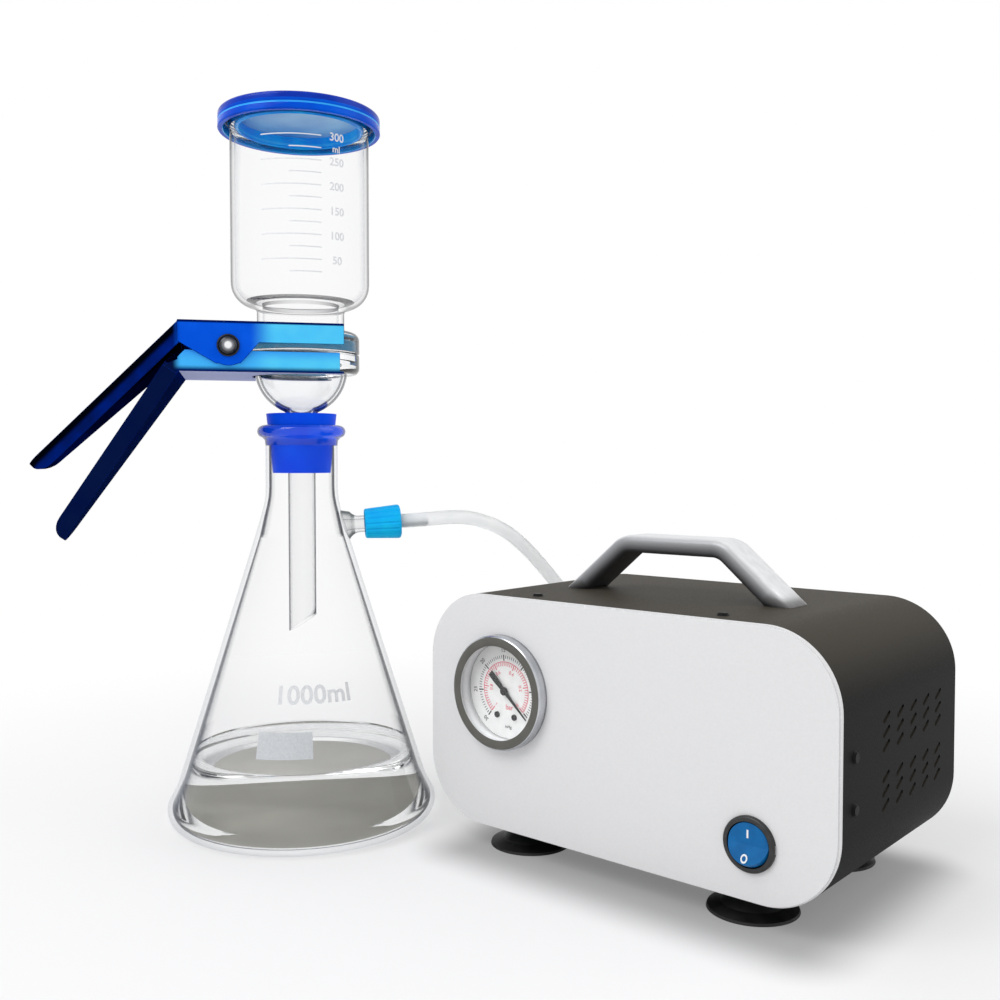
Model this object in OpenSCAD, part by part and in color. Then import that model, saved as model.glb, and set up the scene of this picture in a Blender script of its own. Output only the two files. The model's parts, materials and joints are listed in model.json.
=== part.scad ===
// Vacuum filtration unit: a glass filter funnel on a filtering flask, joined by a hose
// to a boxed diaphragm pump.
// Millimetres. +Z is up and the origin is on the bench, on the flask's axis. The pump's front faces -Y.

/* [Flask] */
// Largest radius of the flask, just above its base
flask_r = 71; // [66:0.5:76]
// Wall thickness of the blown glass
flask_wall = 2.4; // [1.8:0.1:3]
// Outer radius of the neck
neck_r = 19.1; // [18.6:0.1:20]
// Height of the rim above the bench
rim_z = 211.5; // [208:0.5:216]
// Outer radius of the rim bead
rim_r = 23.4; // [22.8:0.1:25]
// Height of the filtrate inside the flask
fill_z = 36; // [20:1:60]
// Direction of the side arm in plan, from +X
arm_turn = 51; // [30:1:60]
// Upward tilt of the side arm
arm_tilt = 3.5; // [0:0.5:6]
// Height at which the side arm's axis meets the flask's axis
arm_z = 156.3; // [152:0.5:160]
// Outer radius of the side arm
arm_r = 4.5; // [4:0.1:5]

/* [Filter stack] */
// Height of the joint between the funnel and its base
joint_z = 249; // [247:0.5:256]
// Radius of the two clamped flanges
flange_r = 31; // [30:0.5:33]
// Thickness of the base's flange
base_flange_t = 10.5; // [9:0.5:12]
// Thickness of the funnel's flange
cup_flange_t = 11.6; // [10:0.1:13]
// Outer radius of the bulb under the base's flange
bulb_r = 24.6; // [23.5:0.1:25.2]
// Outer radius of the base's stem
stem_r = 7.25; // [6.5:0.05:7.8]
// Height of the stem's oblique tip
stem_tip_z = 101; // [90:1:120]
// Radius of the sintered disc
frit_r = 20; // [18:0.5:21]
// Thickness of the sintered disc
frit_t = 3.2; // [2.5:0.1:4]
// Radius of the filter membrane
membrane_r = 23.5; // [22:0.5:25]
// Thickness of the filter membrane
membrane_t = 0.2; // [0.15:0.01:0.3]
// Outer radius of the funnel's cup
cup_r = 36.4; // [34:0.2:38]
// Wall thickness of the cup
cup_wall = 2.3; // [1.8:0.1:2.8]
// Outer radius of the funnel's neck
cup_neck_r = 23; // [22:0.2:24]
// Height of the cup's rim
cup_top_z = 373.2; // [360:0.2:390]
// Outer radius of the lid
lid_r = 42.5; // [41.5:0.5:45]
// Height of the lid from its skirt's edge to its top
lid_h = 9.4; // [8:0.2:12]
// Radius of the stopper's top face
stopper_top_r = 18.6; // [18.2:0.1:19]
// Length of the stopper
stopper_h = 31.5; // [26:0.5:36]

/* [Clamp] */
// Turn of the clamp about the flask's axis, from the line of the pump's front
clamp_turn = 54; // [45:1:65]
// Sheet thickness of the clamp's levers
sheet_t = 1.2; // [1:0.1:1.5]
// Distance of the pivot from the flask's axis
pivot_x = 37.4; // [33:0.2:40]
// Height of the jaws' side plates
jaw_h = 10.6; // [9.5:0.1:11]
// Reach of the jaws past the flask's axis
jaw_reach = 20; // [18:0.5:27]
// Length of the upper handle
upper_handle_l = 104; // [90:1:125]
// Length of the lower handle
lower_handle_l = 104; // [90:1:120]
// Width of the handles at their tips
tip_w = 22; // [18:1:30]
// Slope of the upper handle below the horizontal
upper_slope = 43.5; // [38:0.5:46]
// Slope of the lower handle below the horizontal
lower_slope = 55.5; // [52:0.5:58]
// Radius of the clamp's pin
pin_r = 2.5; // [2:0.1:3]

/* [Side arm fitting] */
// Outer radius of the screw cap
cap_r = 8.4; // [8.1:0.1:9]
// Length of the screw cap
cap_l = 19.5; // [17:0.5:22]
// Distance from the flask's axis to the cap's near face
cap_start = 33.5; // [32:0.5:35]
// Outer radius of the hose
hose_r = 3.8; // [3.4:0.1:4.2]

/* [Pump case] */
// Width of the case
case_w = 220; // [205:1:235]
// Height of the case without its feet
case_h = 115; // [108:1:122]
// Depth over both panels
case_d = 130; // [124:1:140]
// Radius of the case's four long edges
case_r = 33; // [24:1:36]
// Sheet thickness of the case
case_t = 1.5; // [1.2:0.1:2]
// Distance of the case's left side from the flask's axis
case_x = 72; // [71:0.5:90]
// Distance of the front face from the flask's axis
case_y = 26; // [24:0.5:34]
// Height of the case above the bench
foot_h = 11.5; // [10:0.5:14]
// Radius of a foot's cup
foot_r = 20; // [16:0.5:22]
// Width of the handle across its bar
handle_w = 21; // [18:0.5:24]
// Thickness of the handle's bar
handle_t = 8.6; // [7:0.2:10]
// Height of the handle above the case
handle_h = 29; // [27:0.5:36]
// Half of the handle's span over its feet
handle_half = 63; // [56:1:70]

/* [Gauge and switch] */
// Radius of the gauge's bezel
gauge_r = 28; // [26:0.5:30]
// Distance of the gauge from the case's left side
gauge_x = 48; // [46:1:56]
// Distance of the gauge below the case's top
gauge_drop = 46.5; // [44:0.5:52]
// Radius of the switch's bezel
switch_r = 11.75; // [11:0.25:13]
// Distance of the switch from the case's right side
switch_x = 38; // [36:1:46]
// Height of the switch above the case's bottom
switch_up = 24.5; // [24:0.5:32]

/* [Pump works] */
// Radius of the motor
motor_r = 29; // [26:0.5:31]
// Length of the motor's body
motor_l = 70; // [60:1:80]
// Eccentricity of the crank, half of the stroke
throw = 3; // [2:0.25:3.5]
// Radius of the motor's shaft
shaft_r = 4; // [3:0.25:5]

/* [Hidden] */
$fn = 64;

seat = 0.05;      // gap of a seated fit
slack = 0.3;      // gap between pieces that are only close
arc_steps = 8;

// Flask: the cone runs from the base corner to the neck
base_corner_r = 9;
cone_low = [flask_r - 3, 14];
cone_slope = 0.312;                     // fall of radius for each millimetre of height
cone_top_z = cone_low.y + (cone_low.x - neck_r) / cone_slope;
bead_h = 6.8;
base_t = 3.5;

// Stopper: its taper also cuts the seat in the rim
stopper_z = rim_z + 6;
stopper_low_z = stopper_z - stopper_h;
stopper_taper = 0.105;
function stopper_at(z) = stopper_top_r - (stopper_z - z) * stopper_taper;
mouth_z = rim_z - bead_h;
neck_bore = stopper_at(mouth_z) + seat;

// Filter base
flange_low_z = joint_z - base_flange_t;
bulb_z = flange_low_z + 3;
bulb_wall = 1.8;
stem_bore = stem_r - 1.6;
stem_cut = 31;                          // slope of the oblique tip
frit_low_z = joint_z - frit_t;
frit_ledge = 2.2;

// Funnel
cup_z = joint_z + membrane_t;
cup_flange_z = cup_z + cup_flange_t;
bowl_z = cup_flange_z + 12.7;           // underside of the cup's bowl
bowl_corner = 13;
bowl_floor_t = 2.6;
cup_rim_r = cup_r + 3;                  // bead that the lid snaps over
lid_z = cup_top_z + 0.2;                // underside of the lid's plate
lid_plate_t = 2.2;
lid_low_z = lid_z + lid_plate_t - lid_h;

// Clamp, in its own frame: +X points along the jaws, the pivot's axis is Y
clamp_z = joint_z + 1;                  // height of the pivot
in_face = flange_r + slack;             // inner face of the lower lever's side plates
out_face = in_face + sheet_t + 0.2;     // inner face of the upper lever's side plates
low_web_z = flange_low_z - slack - sheet_t;
top_web_z = cup_flange_z + slack;
heel_x = -pivot_x - 24.5;               // where the handles leave the jaws
fork_gap = 1;                           // room between a fork and the glass in it
handle_depth = 8;
bend_in = 0.7;                           // how far the handles start inside the heel, and their step there
bend_lap = 0.12;
lobe_r = 10;
ear_r = 6.6;

// Side arm fitting, along the arm's own axis
arm_end = cap_start + 14.5;
seal_t = 1.2;
barb_flange_t = 1.3;
cap_wall = 2.5;
cap_end = cap_start + cap_l;
cap_hole = 3.4;
barb_r = 2.9;
barb_l = 15;

// Route of the hose from the cap to the port behind the pump
hose_route = [[33.4, 41.5, 159.6], [38.4, 47.7, 160], [43.5, 54, 160.6], [48.3, 60.3, 161.2],
    [52.8, 67.3, 161.3], [56.3, 74.7, 160.3], [59.3, 82.7, 158], [61.8, 91, 154.6], [63.4, 99.5, 150],
    [64, 108, 144.5], [63.6, 117, 138.5], [63, 126, 132], [62, 135, 125.5], [61.5, 144, 118.5],
    [62, 153, 111.5], [64, 161, 104.5], [68, 168, 98], [74, 173, 91.5], [80.5, 175.5, 85], [86, 176, 77.5],
    [89.2, 176, 69], [90, 176, 60], [90, 176, 52]];
hose_sides = 12;
port_x = 90;
port_y = 176;
port_z = 42;
port_r = 4;
port_bore = 1.5;
tail_l = 14;                            // reach of the port's tail inside the rear panel
tail_r = 2.5;                           // nipples that the inner tubes push onto
nipple_bore = 1.3;
tube_r = 3;
gauge_tube_r = 2.6;

// Case
case_z = foot_h;
front_t = 3;
rear_t = 1.5;
shell_y = case_y + front_t;
shell_d = case_d - front_t - rear_t;
rear_y = shell_y + shell_d;             // where the rear panel meets the shell
mid_x = case_x + case_w / 2;
mid_z = case_z + case_h / 2;
top_z = case_z + case_h;
in_top_z = top_z - case_t;
in_low_z = case_z + case_t;
frame_d = 14.5;                          // depth of the front panel's inner frame
frame_t = 2;
screw_r = 1.5;
screw_y = case_y + 14;
side_screw_z = [mid_z - 14.5, mid_z + 6.5];
top_screw_x = [mid_x - 51, mid_x + 51];
lip_w = 9;
vent_rows = 3;
vent_columns = 5;
vent_l = 8;
vent_w = 2;
vent_tilt = 28;
foot_x = [mid_x - 62, mid_x + 62];
foot_in = [22, 28];                     // feet in from the case's front and back
foot_y = [case_y + foot_in[0], case_y + case_d - foot_in[1]];
stud_r = 2;
foot_nut_r = 4;                         // across a nut's corners
grip_y = case_y + 62;                   // middle of the handle's bar
grip_half = 29;                         // half of the handle's flat top
handle_hole = 5;                        // depth of the tapped holes in the handle's feet

// Gauge
gauge_at = [case_x + gauge_x, case_y, top_z - gauge_drop];
gauge_body_r = gauge_r - 3;
gauge_front = 5.5;                      // bezel's stand above the panel
gauge_depth = 30;
lens_r = gauge_r - 2.6;
dial_r = gauge_r - 4.4;
arbor_r = 0.9;
rest_angle = -42;                       // the pointer's rest, seen from the front

// Switch
switch_at = [case_x + case_w - switch_x, case_y, case_z + switch_up];
rocker_r = switch_r - 2.3;
rocker_swing = 24;
rocker_face = 2.6;
switch_body_r = switch_r - 0.9;
switch_depth = 18;

// Pump works
axis_y = case_y + 72;
axis_z = in_low_z + motor_r + 8;
crank_w = 54;
crank_x = case_x + 56;                  // left face of the crank housing
motor_x = crank_x + crank_w;
rod_x = crank_x + crank_w / 2;
rod_w = 9;
bearing_r = 11;
eccentric_r = 7;
diaphragm_r = 24;
diaphragm_t = 2;
deck_z = axis_z + 34;                   // top of the crank housing, where the diaphragm is clamped
disc_r = 12;
disc_t = 2.5;
plate_t = 6.5;
head_t = 13;
cradle_z = in_low_z + 6;                // underside of the cradle's plate
cradle_t = 2;
run_gap = 0.05;

// Points along an arc
function arc(x, y, r, from, to, steps = arc_steps) =
    [for (i = [0:steps]) let (a = from + (to - from) * i / steps) [x + r * cos(a), y + r * sin(a)]];

function unit(v) = v / norm(v);
function tangent(path, i) = unit(path[min(i + 1, len(path) - 1)] - path[max(i - 1, 0)]);

// Tube of equal rings along a path; "up" is any direction that the path never runs along
module tube(path, r, sides, up) {
    rings = [for (i = [0:len(path) - 1])
        let (t = tangent(path, i), n = unit(cross(up, t)), b = cross(t, n))
        for (k = [0:sides - 1]) let (a = 360 * k / sides) path[i] + r * (cos(a) * n + sin(a) * b)];
    last = (len(path) - 1) * sides;
    faces = concat(
        [[for (k = [0:sides - 1]) sides - 1 - k]],
        [[for (k = [0:sides - 1]) last + k]],
        [for (i = [0:len(path) - 2]) for (k = [0:sides - 1])
            let (a = i * sides + k, b = i * sides + (k + 1) % sides) [a, b, b + sides]],
        [for (i = [0:len(path) - 2]) for (k = [0:sides - 1])
            let (a = i * sides + k, b = i * sides + (k + 1) % sides) [a, b + sides, a + sides]]);
    polyhedron(rings, [for (f = faces) [for (i = [len(f) - 1:-1:0]) f[i]]], convexity = 6);
}

// Rectangle with round corners, centred
module round_rect(w, h, r) {
    square([w - 2 * r, h], center = true);
    square([w, h - 2 * r], center = true);
    for (x = [-1, 1], y = [-1, 1]) translate([x * (w / 2 - r), y * (h / 2 - r)]) circle(r);
}

// A bar with round ends
module slot(l, w) {
    square([l - w, w], center = true);
    for (x = [-1, 1]) translate([x * (l - w) / 2, 0]) circle(w / 2, $fn = 16);
}

// Cylinder along Y, from its front face towards the back
module along_y(r, l, r2 = -1) { rotate([-90, 0, 0]) cylinder(r1 = r, r2 = r2 < 0 ? r : r2, h = l); }
module along_x(r, l) { rotate([0, 90, 0]) cylinder(r = r, h = l); }

// Frames of the side arm and of the clamp
module on_arm(d) {
    translate([0, 0, arm_z]) rotate([0, -arm_tilt, arm_turn]) translate([d, 0, 0]) children();
}
module at_clamp() { rotate([0, 0, clamp_turn]) children(); }

// ---- Glass ----

module flask_outside() {
    polygon(concat([[0, 0], [flask_r - base_corner_r + 1, 0]],
        arc(flask_r - base_corner_r, base_corner_r, base_corner_r, -80, 18),
        [cone_low, [neck_r + 6, cone_top_z - 6 / cone_slope], [neck_r + 2.2, cone_top_z - 4],
            [neck_r + 0.6, cone_top_z + 3], [neck_r, cone_top_z + 10], [neck_r, mouth_z - 3]],
        arc(rim_r - bead_h / 2, rim_z - bead_h / 2, bead_h / 2, -80, 90), [[0, rim_z]]));
}

function flask_inner_low() = concat([[0, base_t]],
    arc(flask_r - base_corner_r, base_corner_r + 0.6, base_corner_r - flask_wall, -90, 18),
    [[cone_low.x - flask_wall * 1.05, cone_low.y]]);

function flask_inner_at(z) = cone_low.x - flask_wall * 1.05 - (z - cone_low.y) * cone_slope;

module flask_inside() {
    polygon(concat(flask_inner_low(),
        [[neck_bore + 4, cone_low.y + (cone_low.x - flask_wall * 1.05 - neck_bore - 4) / cone_slope],
            [neck_bore + 1, cone_top_z], [neck_bore, cone_top_z + 8], [neck_bore, mouth_z],
            [stopper_at(rim_z) + seat, rim_z], [stopper_at(rim_z) + seat, rim_z + 1], [0, rim_z + 1]]));
}

module flask() {
    color("lightcyan", 0.4) difference() {
        union() {
            rotate_extrude() flask_outside();
            on_arm(14) along_x(arm_r, arm_end - 14);
            on_arm(cap_start + 3) along_x(cap_r - 1.5, arm_end - cap_start - 3);
        }
        rotate_extrude() flask_inside();
        on_arm(8) along_x(arm_r - 1.6, arm_end);
    }
}

module filtrate() {
    color("aliceblue", 0.5) rotate_extrude() polygon(concat(flask_inner_low(),
        [[flask_inner_at(fill_z), fill_z], [0, fill_z]]));
}

module stopper() {
    color("royalblue") difference() {
        translate([0, 0, stopper_low_z])
            cylinder(r1 = stopper_at(stopper_low_z), r2 = stopper_top_r, h = stopper_h);
        translate([0, 0, stopper_low_z - 1]) cylinder(r = stem_r + seat, h = stopper_h + 2);
    }
}

module filter_base() {
    corner = 3.5;
    dome = bulb_r - bulb_wall;
    low_a = -acos(stem_r / bulb_r);
    bore_a = -acos(stem_bore / dome);
    color("lightcyan", 0.4) difference() {
        rotate_extrude() polygon(concat([[0, stem_tip_z], [stem_r, stem_tip_z]],
            arc(0, bulb_z, bulb_r, low_a, -asin(3 / bulb_r) - 1),
            [[bulb_r, flange_low_z]],
            arc(flange_r - corner, flange_low_z + corner, corner, -90, 0),
            arc(flange_r - 1, joint_z - 1, 1, 0, 90, 3), [[0, joint_z]]));
        rotate_extrude() polygon(concat([[0, stem_tip_z - 1], [stem_bore, stem_tip_z - 1]],
            arc(0, bulb_z, dome, bore_a, 0),
            [[dome - 0.4, frit_low_z - frit_ledge], [frit_r - 2, frit_low_z - frit_ledge + 0.8],
                [frit_r - 2, frit_low_z], [frit_r + seat, frit_low_z], [frit_r + seat, joint_z + 1],
                [0, joint_z + 1]]));
        rotate([0, 0, arm_turn]) translate([-stem_r, 0, stem_tip_z]) rotate([0, -stem_cut, 0])
            translate([-20, -20, -30]) cube([60, 40, 30]);
    }
}

module frit_disc() {
    color("whitesmoke") translate([0, 0, frit_low_z]) cylinder(r = frit_r, h = frit_t);
}

module filter_membrane() {
    color("white") translate([0, 0, joint_z]) cylinder(r = membrane_r, h = membrane_t);
}

module funnel_cup() {
    corner = 4;
    throat = frit_r;
    floor_z = bowl_z + bowl_floor_t;
    in_r = cup_r - cup_wall;
    in_corner = bowl_corner - cup_wall;
    color("lightcyan", 0.4) rotate_extrude() polygon(concat(
        [[throat, cup_z], [flange_r - 1, cup_z]],
        arc(flange_r - 1, cup_z + 1, 1, -90, 0, 3),
        arc(flange_r - corner, cup_flange_z - corner, corner, 0, 90),
        [[cup_neck_r, cup_flange_z], [cup_neck_r, bowl_z - 1.5]],
        arc(cup_r - bowl_corner, bowl_z + bowl_corner, bowl_corner, -85, 0),
        [[cup_r, cup_top_z - 6]],
        arc(cup_rim_r - 1.8, cup_top_z - 1.8, 1.8, -40, 90, 5),
        [[in_r, cup_top_z]],
        [for (i = [arc_steps:-1:0]) let (a = -90 + 90 * i / arc_steps)
            [in_r - in_corner + in_corner * cos(a), floor_z + in_corner + in_corner * sin(a)]],
        [[throat + 1.5, floor_z], [throat, floor_z - 2.5]]));
}

module cup_lid() {
    in_r = cup_r - cup_wall;
    plug_r = in_r - 0.3;
    skirt_r = cup_rim_r + slack;
    color("mediumblue", 0.8) rotate_extrude() polygon(concat(
        [[0, lid_z], [plug_r - 2, lid_z], [plug_r - 2, lid_low_z + 1], [plug_r - 0.5, lid_low_z + 1],
            [plug_r, lid_low_z + 2], [plug_r, lid_z], [skirt_r, lid_z], [skirt_r, lid_low_z],
            [lid_r - 0.4, lid_low_z]],
        [[lid_r, lid_low_z + 0.6]], arc(lid_r - 2, lid_z + lid_plate_t - 2, 2, 0, 90, 5),
        [[plug_r - 1, lid_z + lid_plate_t], [plug_r - 3, lid_z + lid_plate_t - 0.8],
            [0, lid_z + lid_plate_t - 0.8]]));
}

// ---- Clamp ----

// Plan of a tapering handle from its heel, inset by t
module handle_plan(l, w, t) {
    end_r = tip_w / 2 - t;
    polygon(concat([[0, -w / 2 + t], [l - tip_w / 2, -end_r]],
        arc(l - tip_w / 2, 0, end_r, -90, 90, 12), [[l - tip_w / 2, end_r], [0, w / 2 - t]]));
}

// Side of a handle: it keeps its depth up to the tip, and rounds off there towards its web
module handle_side(l, side) {
    tip_l = 10;
    edge = handle_depth + 0.01;
    mirror([0, side > 0 ? 1 : 0]) polygon(concat([[-9, -1], [l + 1, -1]],
        [for (a = [0:15:90]) [l + 0.01 - tip_l * (1 - cos(a)), sheet_t + (edge - sheet_t) * sin(a)]],
        [[-9, edge]]));
}

// Tray-shaped handle running away from the heel, its web on the outside. It starts a little inside the fork.
module handle_tray(l, w, slope, side) {
    translate([heel_x + bend_in, 0, (side > 0 ? top_web_z + sheet_t : low_web_z) - side * bend_lap])
        rotate([0, 0, 180]) rotate([0, slope, 0]) intersection() {
            translate([0, 0, side > 0 ? -handle_depth : 0]) difference() {
                linear_extrude(handle_depth) handle_plan(l, w - 2 * bend_lap, 0);
                translate([-1, 0, side > 0 ? -sheet_t : sheet_t]) linear_extrude(handle_depth)
                    handle_plan(l + 1 - sheet_t, w - 2 * bend_lap, sheet_t);
            }
            translate([0, w / 2 + 1, 0]) rotate([90, 0, 0]) linear_extrude(w + 2) handle_side(l, side);
        }
}

// Outline of the lower lever's side where it turns down into the handle's wall
module heel_gusset(slope) {
    along = [-cos(slope), -sin(slope)];
    inwards = [-sin(slope), cos(slope)];
    start = [heel_x + bend_in, low_web_z + bend_lap];
    polygon([[heel_x + 3, low_web_z + 0.3], [heel_x + 0.5, low_web_z + 0.3],
        start + 2 * along + 0.3 * inwards,
        start + 2 * along + (handle_depth - 0.3) * inwards, [heel_x + 0.5, low_web_z + 6],
        [heel_x + 3, low_web_z + 7]]);
}

// Horizontal fork between two side plates: it is open towards the jaws' tips
module fork(z, w, gap_r) {
    difference() {
        translate([heel_x, -w / 2, z]) cube([jaw_reach - heel_x, w, sheet_t]);
        translate([0, 0, z - 1]) cylinder(r = gap_r, h = sheet_t + 2);
        translate([0, -gap_r, z - 1]) cube([jaw_reach + 1, 2 * gap_r, sheet_t + 2]);
    }
}

module side_plates(inner) {
    for (s = [0, 1]) mirror([0, s, 0]) translate([0, inner + sheet_t, 0]) rotate([90, 0, 0])
        linear_extrude(sheet_t) children();
}

module pin_hole(half) {
    translate([-pivot_x, -half, clamp_z]) along_y(pin_r + seat, 2 * half);
}

module clamp_lower_lever() {
    w = 2 * (in_face + sheet_t);
    color("dodgerblue") at_clamp() difference() {
        union() {
            fork(low_web_z, w, bulb_r + fork_gap);
            side_plates(in_face) {
                translate([heel_x, low_web_z]) polygon([[0, 0], [jaw_reach - heel_x - 2, 0],
                    [jaw_reach - heel_x - 2, jaw_h], [3.5, jaw_h], [0, 7]]);
                translate([-pivot_x, clamp_z]) circle(ear_r);
                translate([-pivot_x - ear_r, low_web_z]) square([2 * ear_r, clamp_z - low_web_z]);
                heel_gusset(lower_slope);
            }
            handle_tray(lower_handle_l, w, lower_slope, -1);
        }
        pin_hole(in_face + 2 * sheet_t);
    }
}

module clamp_upper_lever() {
    w = 2 * (out_face + sheet_t);
    plate_z = top_web_z + sheet_t - jaw_h;
    color("dodgerblue") at_clamp() difference() {
        union() {
            fork(top_web_z, w, cup_neck_r + fork_gap);
            side_plates(out_face) {
                translate([heel_x, plate_z]) square([jaw_reach - heel_x, jaw_h]);
                polygon([[heel_x, plate_z], [-pivot_x - 6, clamp_z - lobe_r + 1],
                    [-pivot_x + 6, clamp_z - lobe_r + 1.2],
                    [-pivot_x + lobe_r + 6, plate_z + 1]]);
                translate([-pivot_x, clamp_z]) circle(lobe_r);
            }
            handle_tray(upper_handle_l, w, upper_slope, 1);
        }
        pin_hole(out_face + 2 * sheet_t);
    }
}

module clamp_pin() {
    half = out_face + sheet_t + 0.1;
    head_h = 2;
    color("silver") at_clamp() translate([-pivot_x, 0, clamp_z]) {
        translate([0, -half, 0]) along_y(pin_r, 2 * half);
        for (s = [0, 1]) mirror([0, s, 0]) translate([0, half, 0]) along_y(4.7, head_h, 3);
    }
}

// Torsion spring beside the glass: a coil round the pin with a leg against each web
module clamp_spring() {
    wire_r = 0.7;
    coil_r = pin_r + wire_r + 0.6;
    coil_y = 19;
    turns = 4;
    pitch = 2.2;
    steps = 12;
    leg_a = 18;                         // slope of the legs
    up_leg = (top_web_z - clamp_z - 0.3 - wire_r - coil_r * cos(leg_a)) / sin(leg_a);
    low_leg = (clamp_z - low_web_z - sheet_t - 0.2 - wire_r - coil_r * cos(leg_a)) / sin(leg_a);
    turn_a = 360 * turns + 180 - 2 * leg_a;
    coil = [for (i = [0:steps * turns]) let (a = leg_a - 90 + turn_a * i / (steps * turns))
        [coil_r * cos(a), coil_y + turns * pitch * (i / (steps * turns) - 0.5), coil_r * sin(a)]];
    route = concat([coil[0] + low_leg * [-cos(leg_a), 0, -sin(leg_a)]], coil,
        [coil[len(coil) - 1] + up_leg * [-cos(leg_a), 0, sin(leg_a)]]);
    color("gainsboro") at_clamp() translate([-pivot_x, 0, clamp_z]) tube(route, wire_r, 6, [0, 1, 0]);
}

// ---- Side arm fitting and hose ----

module side_arm_cap() {
    ribs = 24;
    color("deepskyblue") difference() {
        on_arm(cap_start) union() {
            along_x(cap_r - 0.4, cap_l - 1);
            translate([cap_l - 1, 0, 0]) rotate([0, 90, 0])
                cylinder(r1 = cap_r - 0.4, r2 = cap_r - 1.4, h = 1);
            for (i = [0:ribs - 1]) rotate([360 * i / ribs, 0, 0])
                translate([0.8, -0.45, cap_r - 1]) cube([cap_l - 3.5, 0.9, 1]);
        }
        on_arm(cap_start - 1) along_x(cap_r - 1.5 + slack, cap_l + 1 - cap_wall);
        on_arm(cap_start) along_x(cap_hole, cap_l + 1);
    }
}

module barb_seal() {
    color("whitesmoke") on_arm(arm_end) difference() {
        along_x(cap_r - 2.2, seal_t);
        translate([-1, 0, 0]) along_x(2, seal_t + 2);
    }
}

module hose_barb() {
    flange_at = arm_end + seal_t;
    barbs = 3;
    color("white") difference() {
        union() {
            on_arm(flange_at) along_x(cap_r - 1.9, barb_flange_t);
            on_arm(flange_at) along_x(barb_r - 0.4, cap_end + barb_l - flange_at);
            for (i = [0:barbs - 1]) on_arm(cap_end + 1 + i * barb_l / barbs) rotate([0, 90, 0])
                cylinder(r1 = barb_r, r2 = barb_r - 0.4, h = barb_l / barbs - 1);
        }
        on_arm(flange_at - 1) along_x(1.6, cap_l + barb_l);
    }
}

module hose() { color("ghostwhite", 0.7) tube(hose_route, hose_r, hose_sides, [0.3, -0.6, 0.1]); }

// ---- Case ----

// A prism of the case's outline, inset by t, from y over l
module case_prism(t, y, l) {
    translate([mid_x, y + l, mid_z]) rotate([90, 0, 0])
        linear_extrude(l) round_rect(case_w - 2 * t, case_h - 2 * t, case_r - t);
}

module side_screw_axes() {
    for (x = [case_x, case_x + case_w], z = side_screw_z) translate([x, screw_y, z])
        rotate([0, x > mid_x ? 90 : -90, 0]) children();
    for (x = top_screw_x) translate([x, screw_y, top_z]) children();
}

module vents() {
    grid_y = case_y + 46;
    step_y = 15;
    step_z = 6;
    for (x = [case_x, case_x + case_w], group = [-14, 11], row = [0:vent_rows - 1], c = [0:vent_columns - 1])
        translate([x, grid_y + c * step_y, mid_z + group - row * step_z + step_z])
            rotate([90, 0, 90]) rotate([0, 0, vent_tilt]) linear_extrude(2 * case_t + 2, center = true)
                slot(vent_l, vent_w);
}

module at_feet() { for (x = foot_x, y = foot_y) translate([x, y, 0]) children(); }

module handle_screw_axes() {
    for (s = [-1, 1]) translate([mid_x + s * (handle_half - 9), grip_y, top_z]) children();
}

module case_shell() {
    color("dimgray") difference() {
        case_prism(0, shell_y, shell_d);
        case_prism(case_t, shell_y - 1, shell_d - rear_t + 1);
        case_prism(lip_w, shell_y, shell_d + 1);
        side_screw_axes() translate([0, 0, -case_t - 1]) cylinder(r = screw_r + 0.2, h = case_t + 2);
        vents();
        at_feet() cylinder(r = stud_r + 0.2, h = in_low_z + 1);
        handle_screw_axes() translate([0, 0, -case_t - 1]) cylinder(r = screw_r + 0.3, h = case_t + 2);
        rear_screw_axes() translate([0, 0, -rear_t - 1]) cylinder(r = screw_r + 0.2, h = rear_t + 2);
    }
}

// Cast panel with a round frame behind it that fits inside the shell
module front_panel() {
    color("whitesmoke") difference() {
        union() {
            case_prism(0.6, case_y, 1);
            case_prism(0, case_y + 1, front_t - 1);
            difference() {
                case_prism(case_t + 0.1, shell_y, frame_d);
                case_prism(case_t + frame_t, shell_y - 1, frame_d + 2);
            }
            side_screw_axes() translate([0, 0, -case_t - frame_t - 3]) cylinder(r = 3.4, h = frame_t + 2.4);
        }
        side_screw_axes() translate([0, 0, -case_t - 7]) cylinder(r = screw_r + seat, h = 8);
        translate([gauge_at.x, case_y - 1, gauge_at.z]) along_y(gauge_body_r + 0.2, front_t + 2);
        translate([switch_at.x, case_y - 1, switch_at.z]) along_y(switch_body_r + 0.2, front_t + 2);
    }
}

module case_screws() {
    color("black") side_screw_axes() {
        translate([0, 0, -case_t - 5]) cylinder(r = screw_r, h = case_t + 5);
        cylinder(r1 = 2.8, r2 = 2, h = 1.2);
    }
}

inlet_at = [mid_x + 70, rear_y, case_z + 36];
silencer_at = [mid_x - 40, rear_y, case_z + 34];
silencer_tail = 18;
inlet_size = [27, 20];

module rear_screw_axes() {
    half = [case_w / 2 - 14, case_h / 2 - 14];
    for (x = [-1, 1], z = [-1, 1]) translate([mid_x + x * half.x, rear_y, mid_z + z * half.y])
        rotate([-90, 0, 0]) children();
    for (z = [-1, 1]) translate([mid_x, rear_y, mid_z + z * (case_h / 2 - lip_w / 2 - 0.6)])
        rotate([-90, 0, 0]) children();
}

module rear_panel() {
    color("dimgray") difference() {
        case_prism(0.4, rear_y, rear_t);
        rear_screw_axes() translate([0, 0, -1]) cylinder(r = screw_r + 0.2, h = rear_t + 2);
        translate([inlet_at.x, rear_y + rear_t + 1, inlet_at.z]) rotate([90, 0, 0])
            linear_extrude(rear_t + 2) square(inlet_size, center = true);
        translate([port_x, rear_y - 1, port_z]) along_y(4.2, rear_t + 2);
        translate([silencer_at.x, rear_y - 1, silencer_at.z]) along_y(5.2, rear_t + 2);
    }
}

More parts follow.
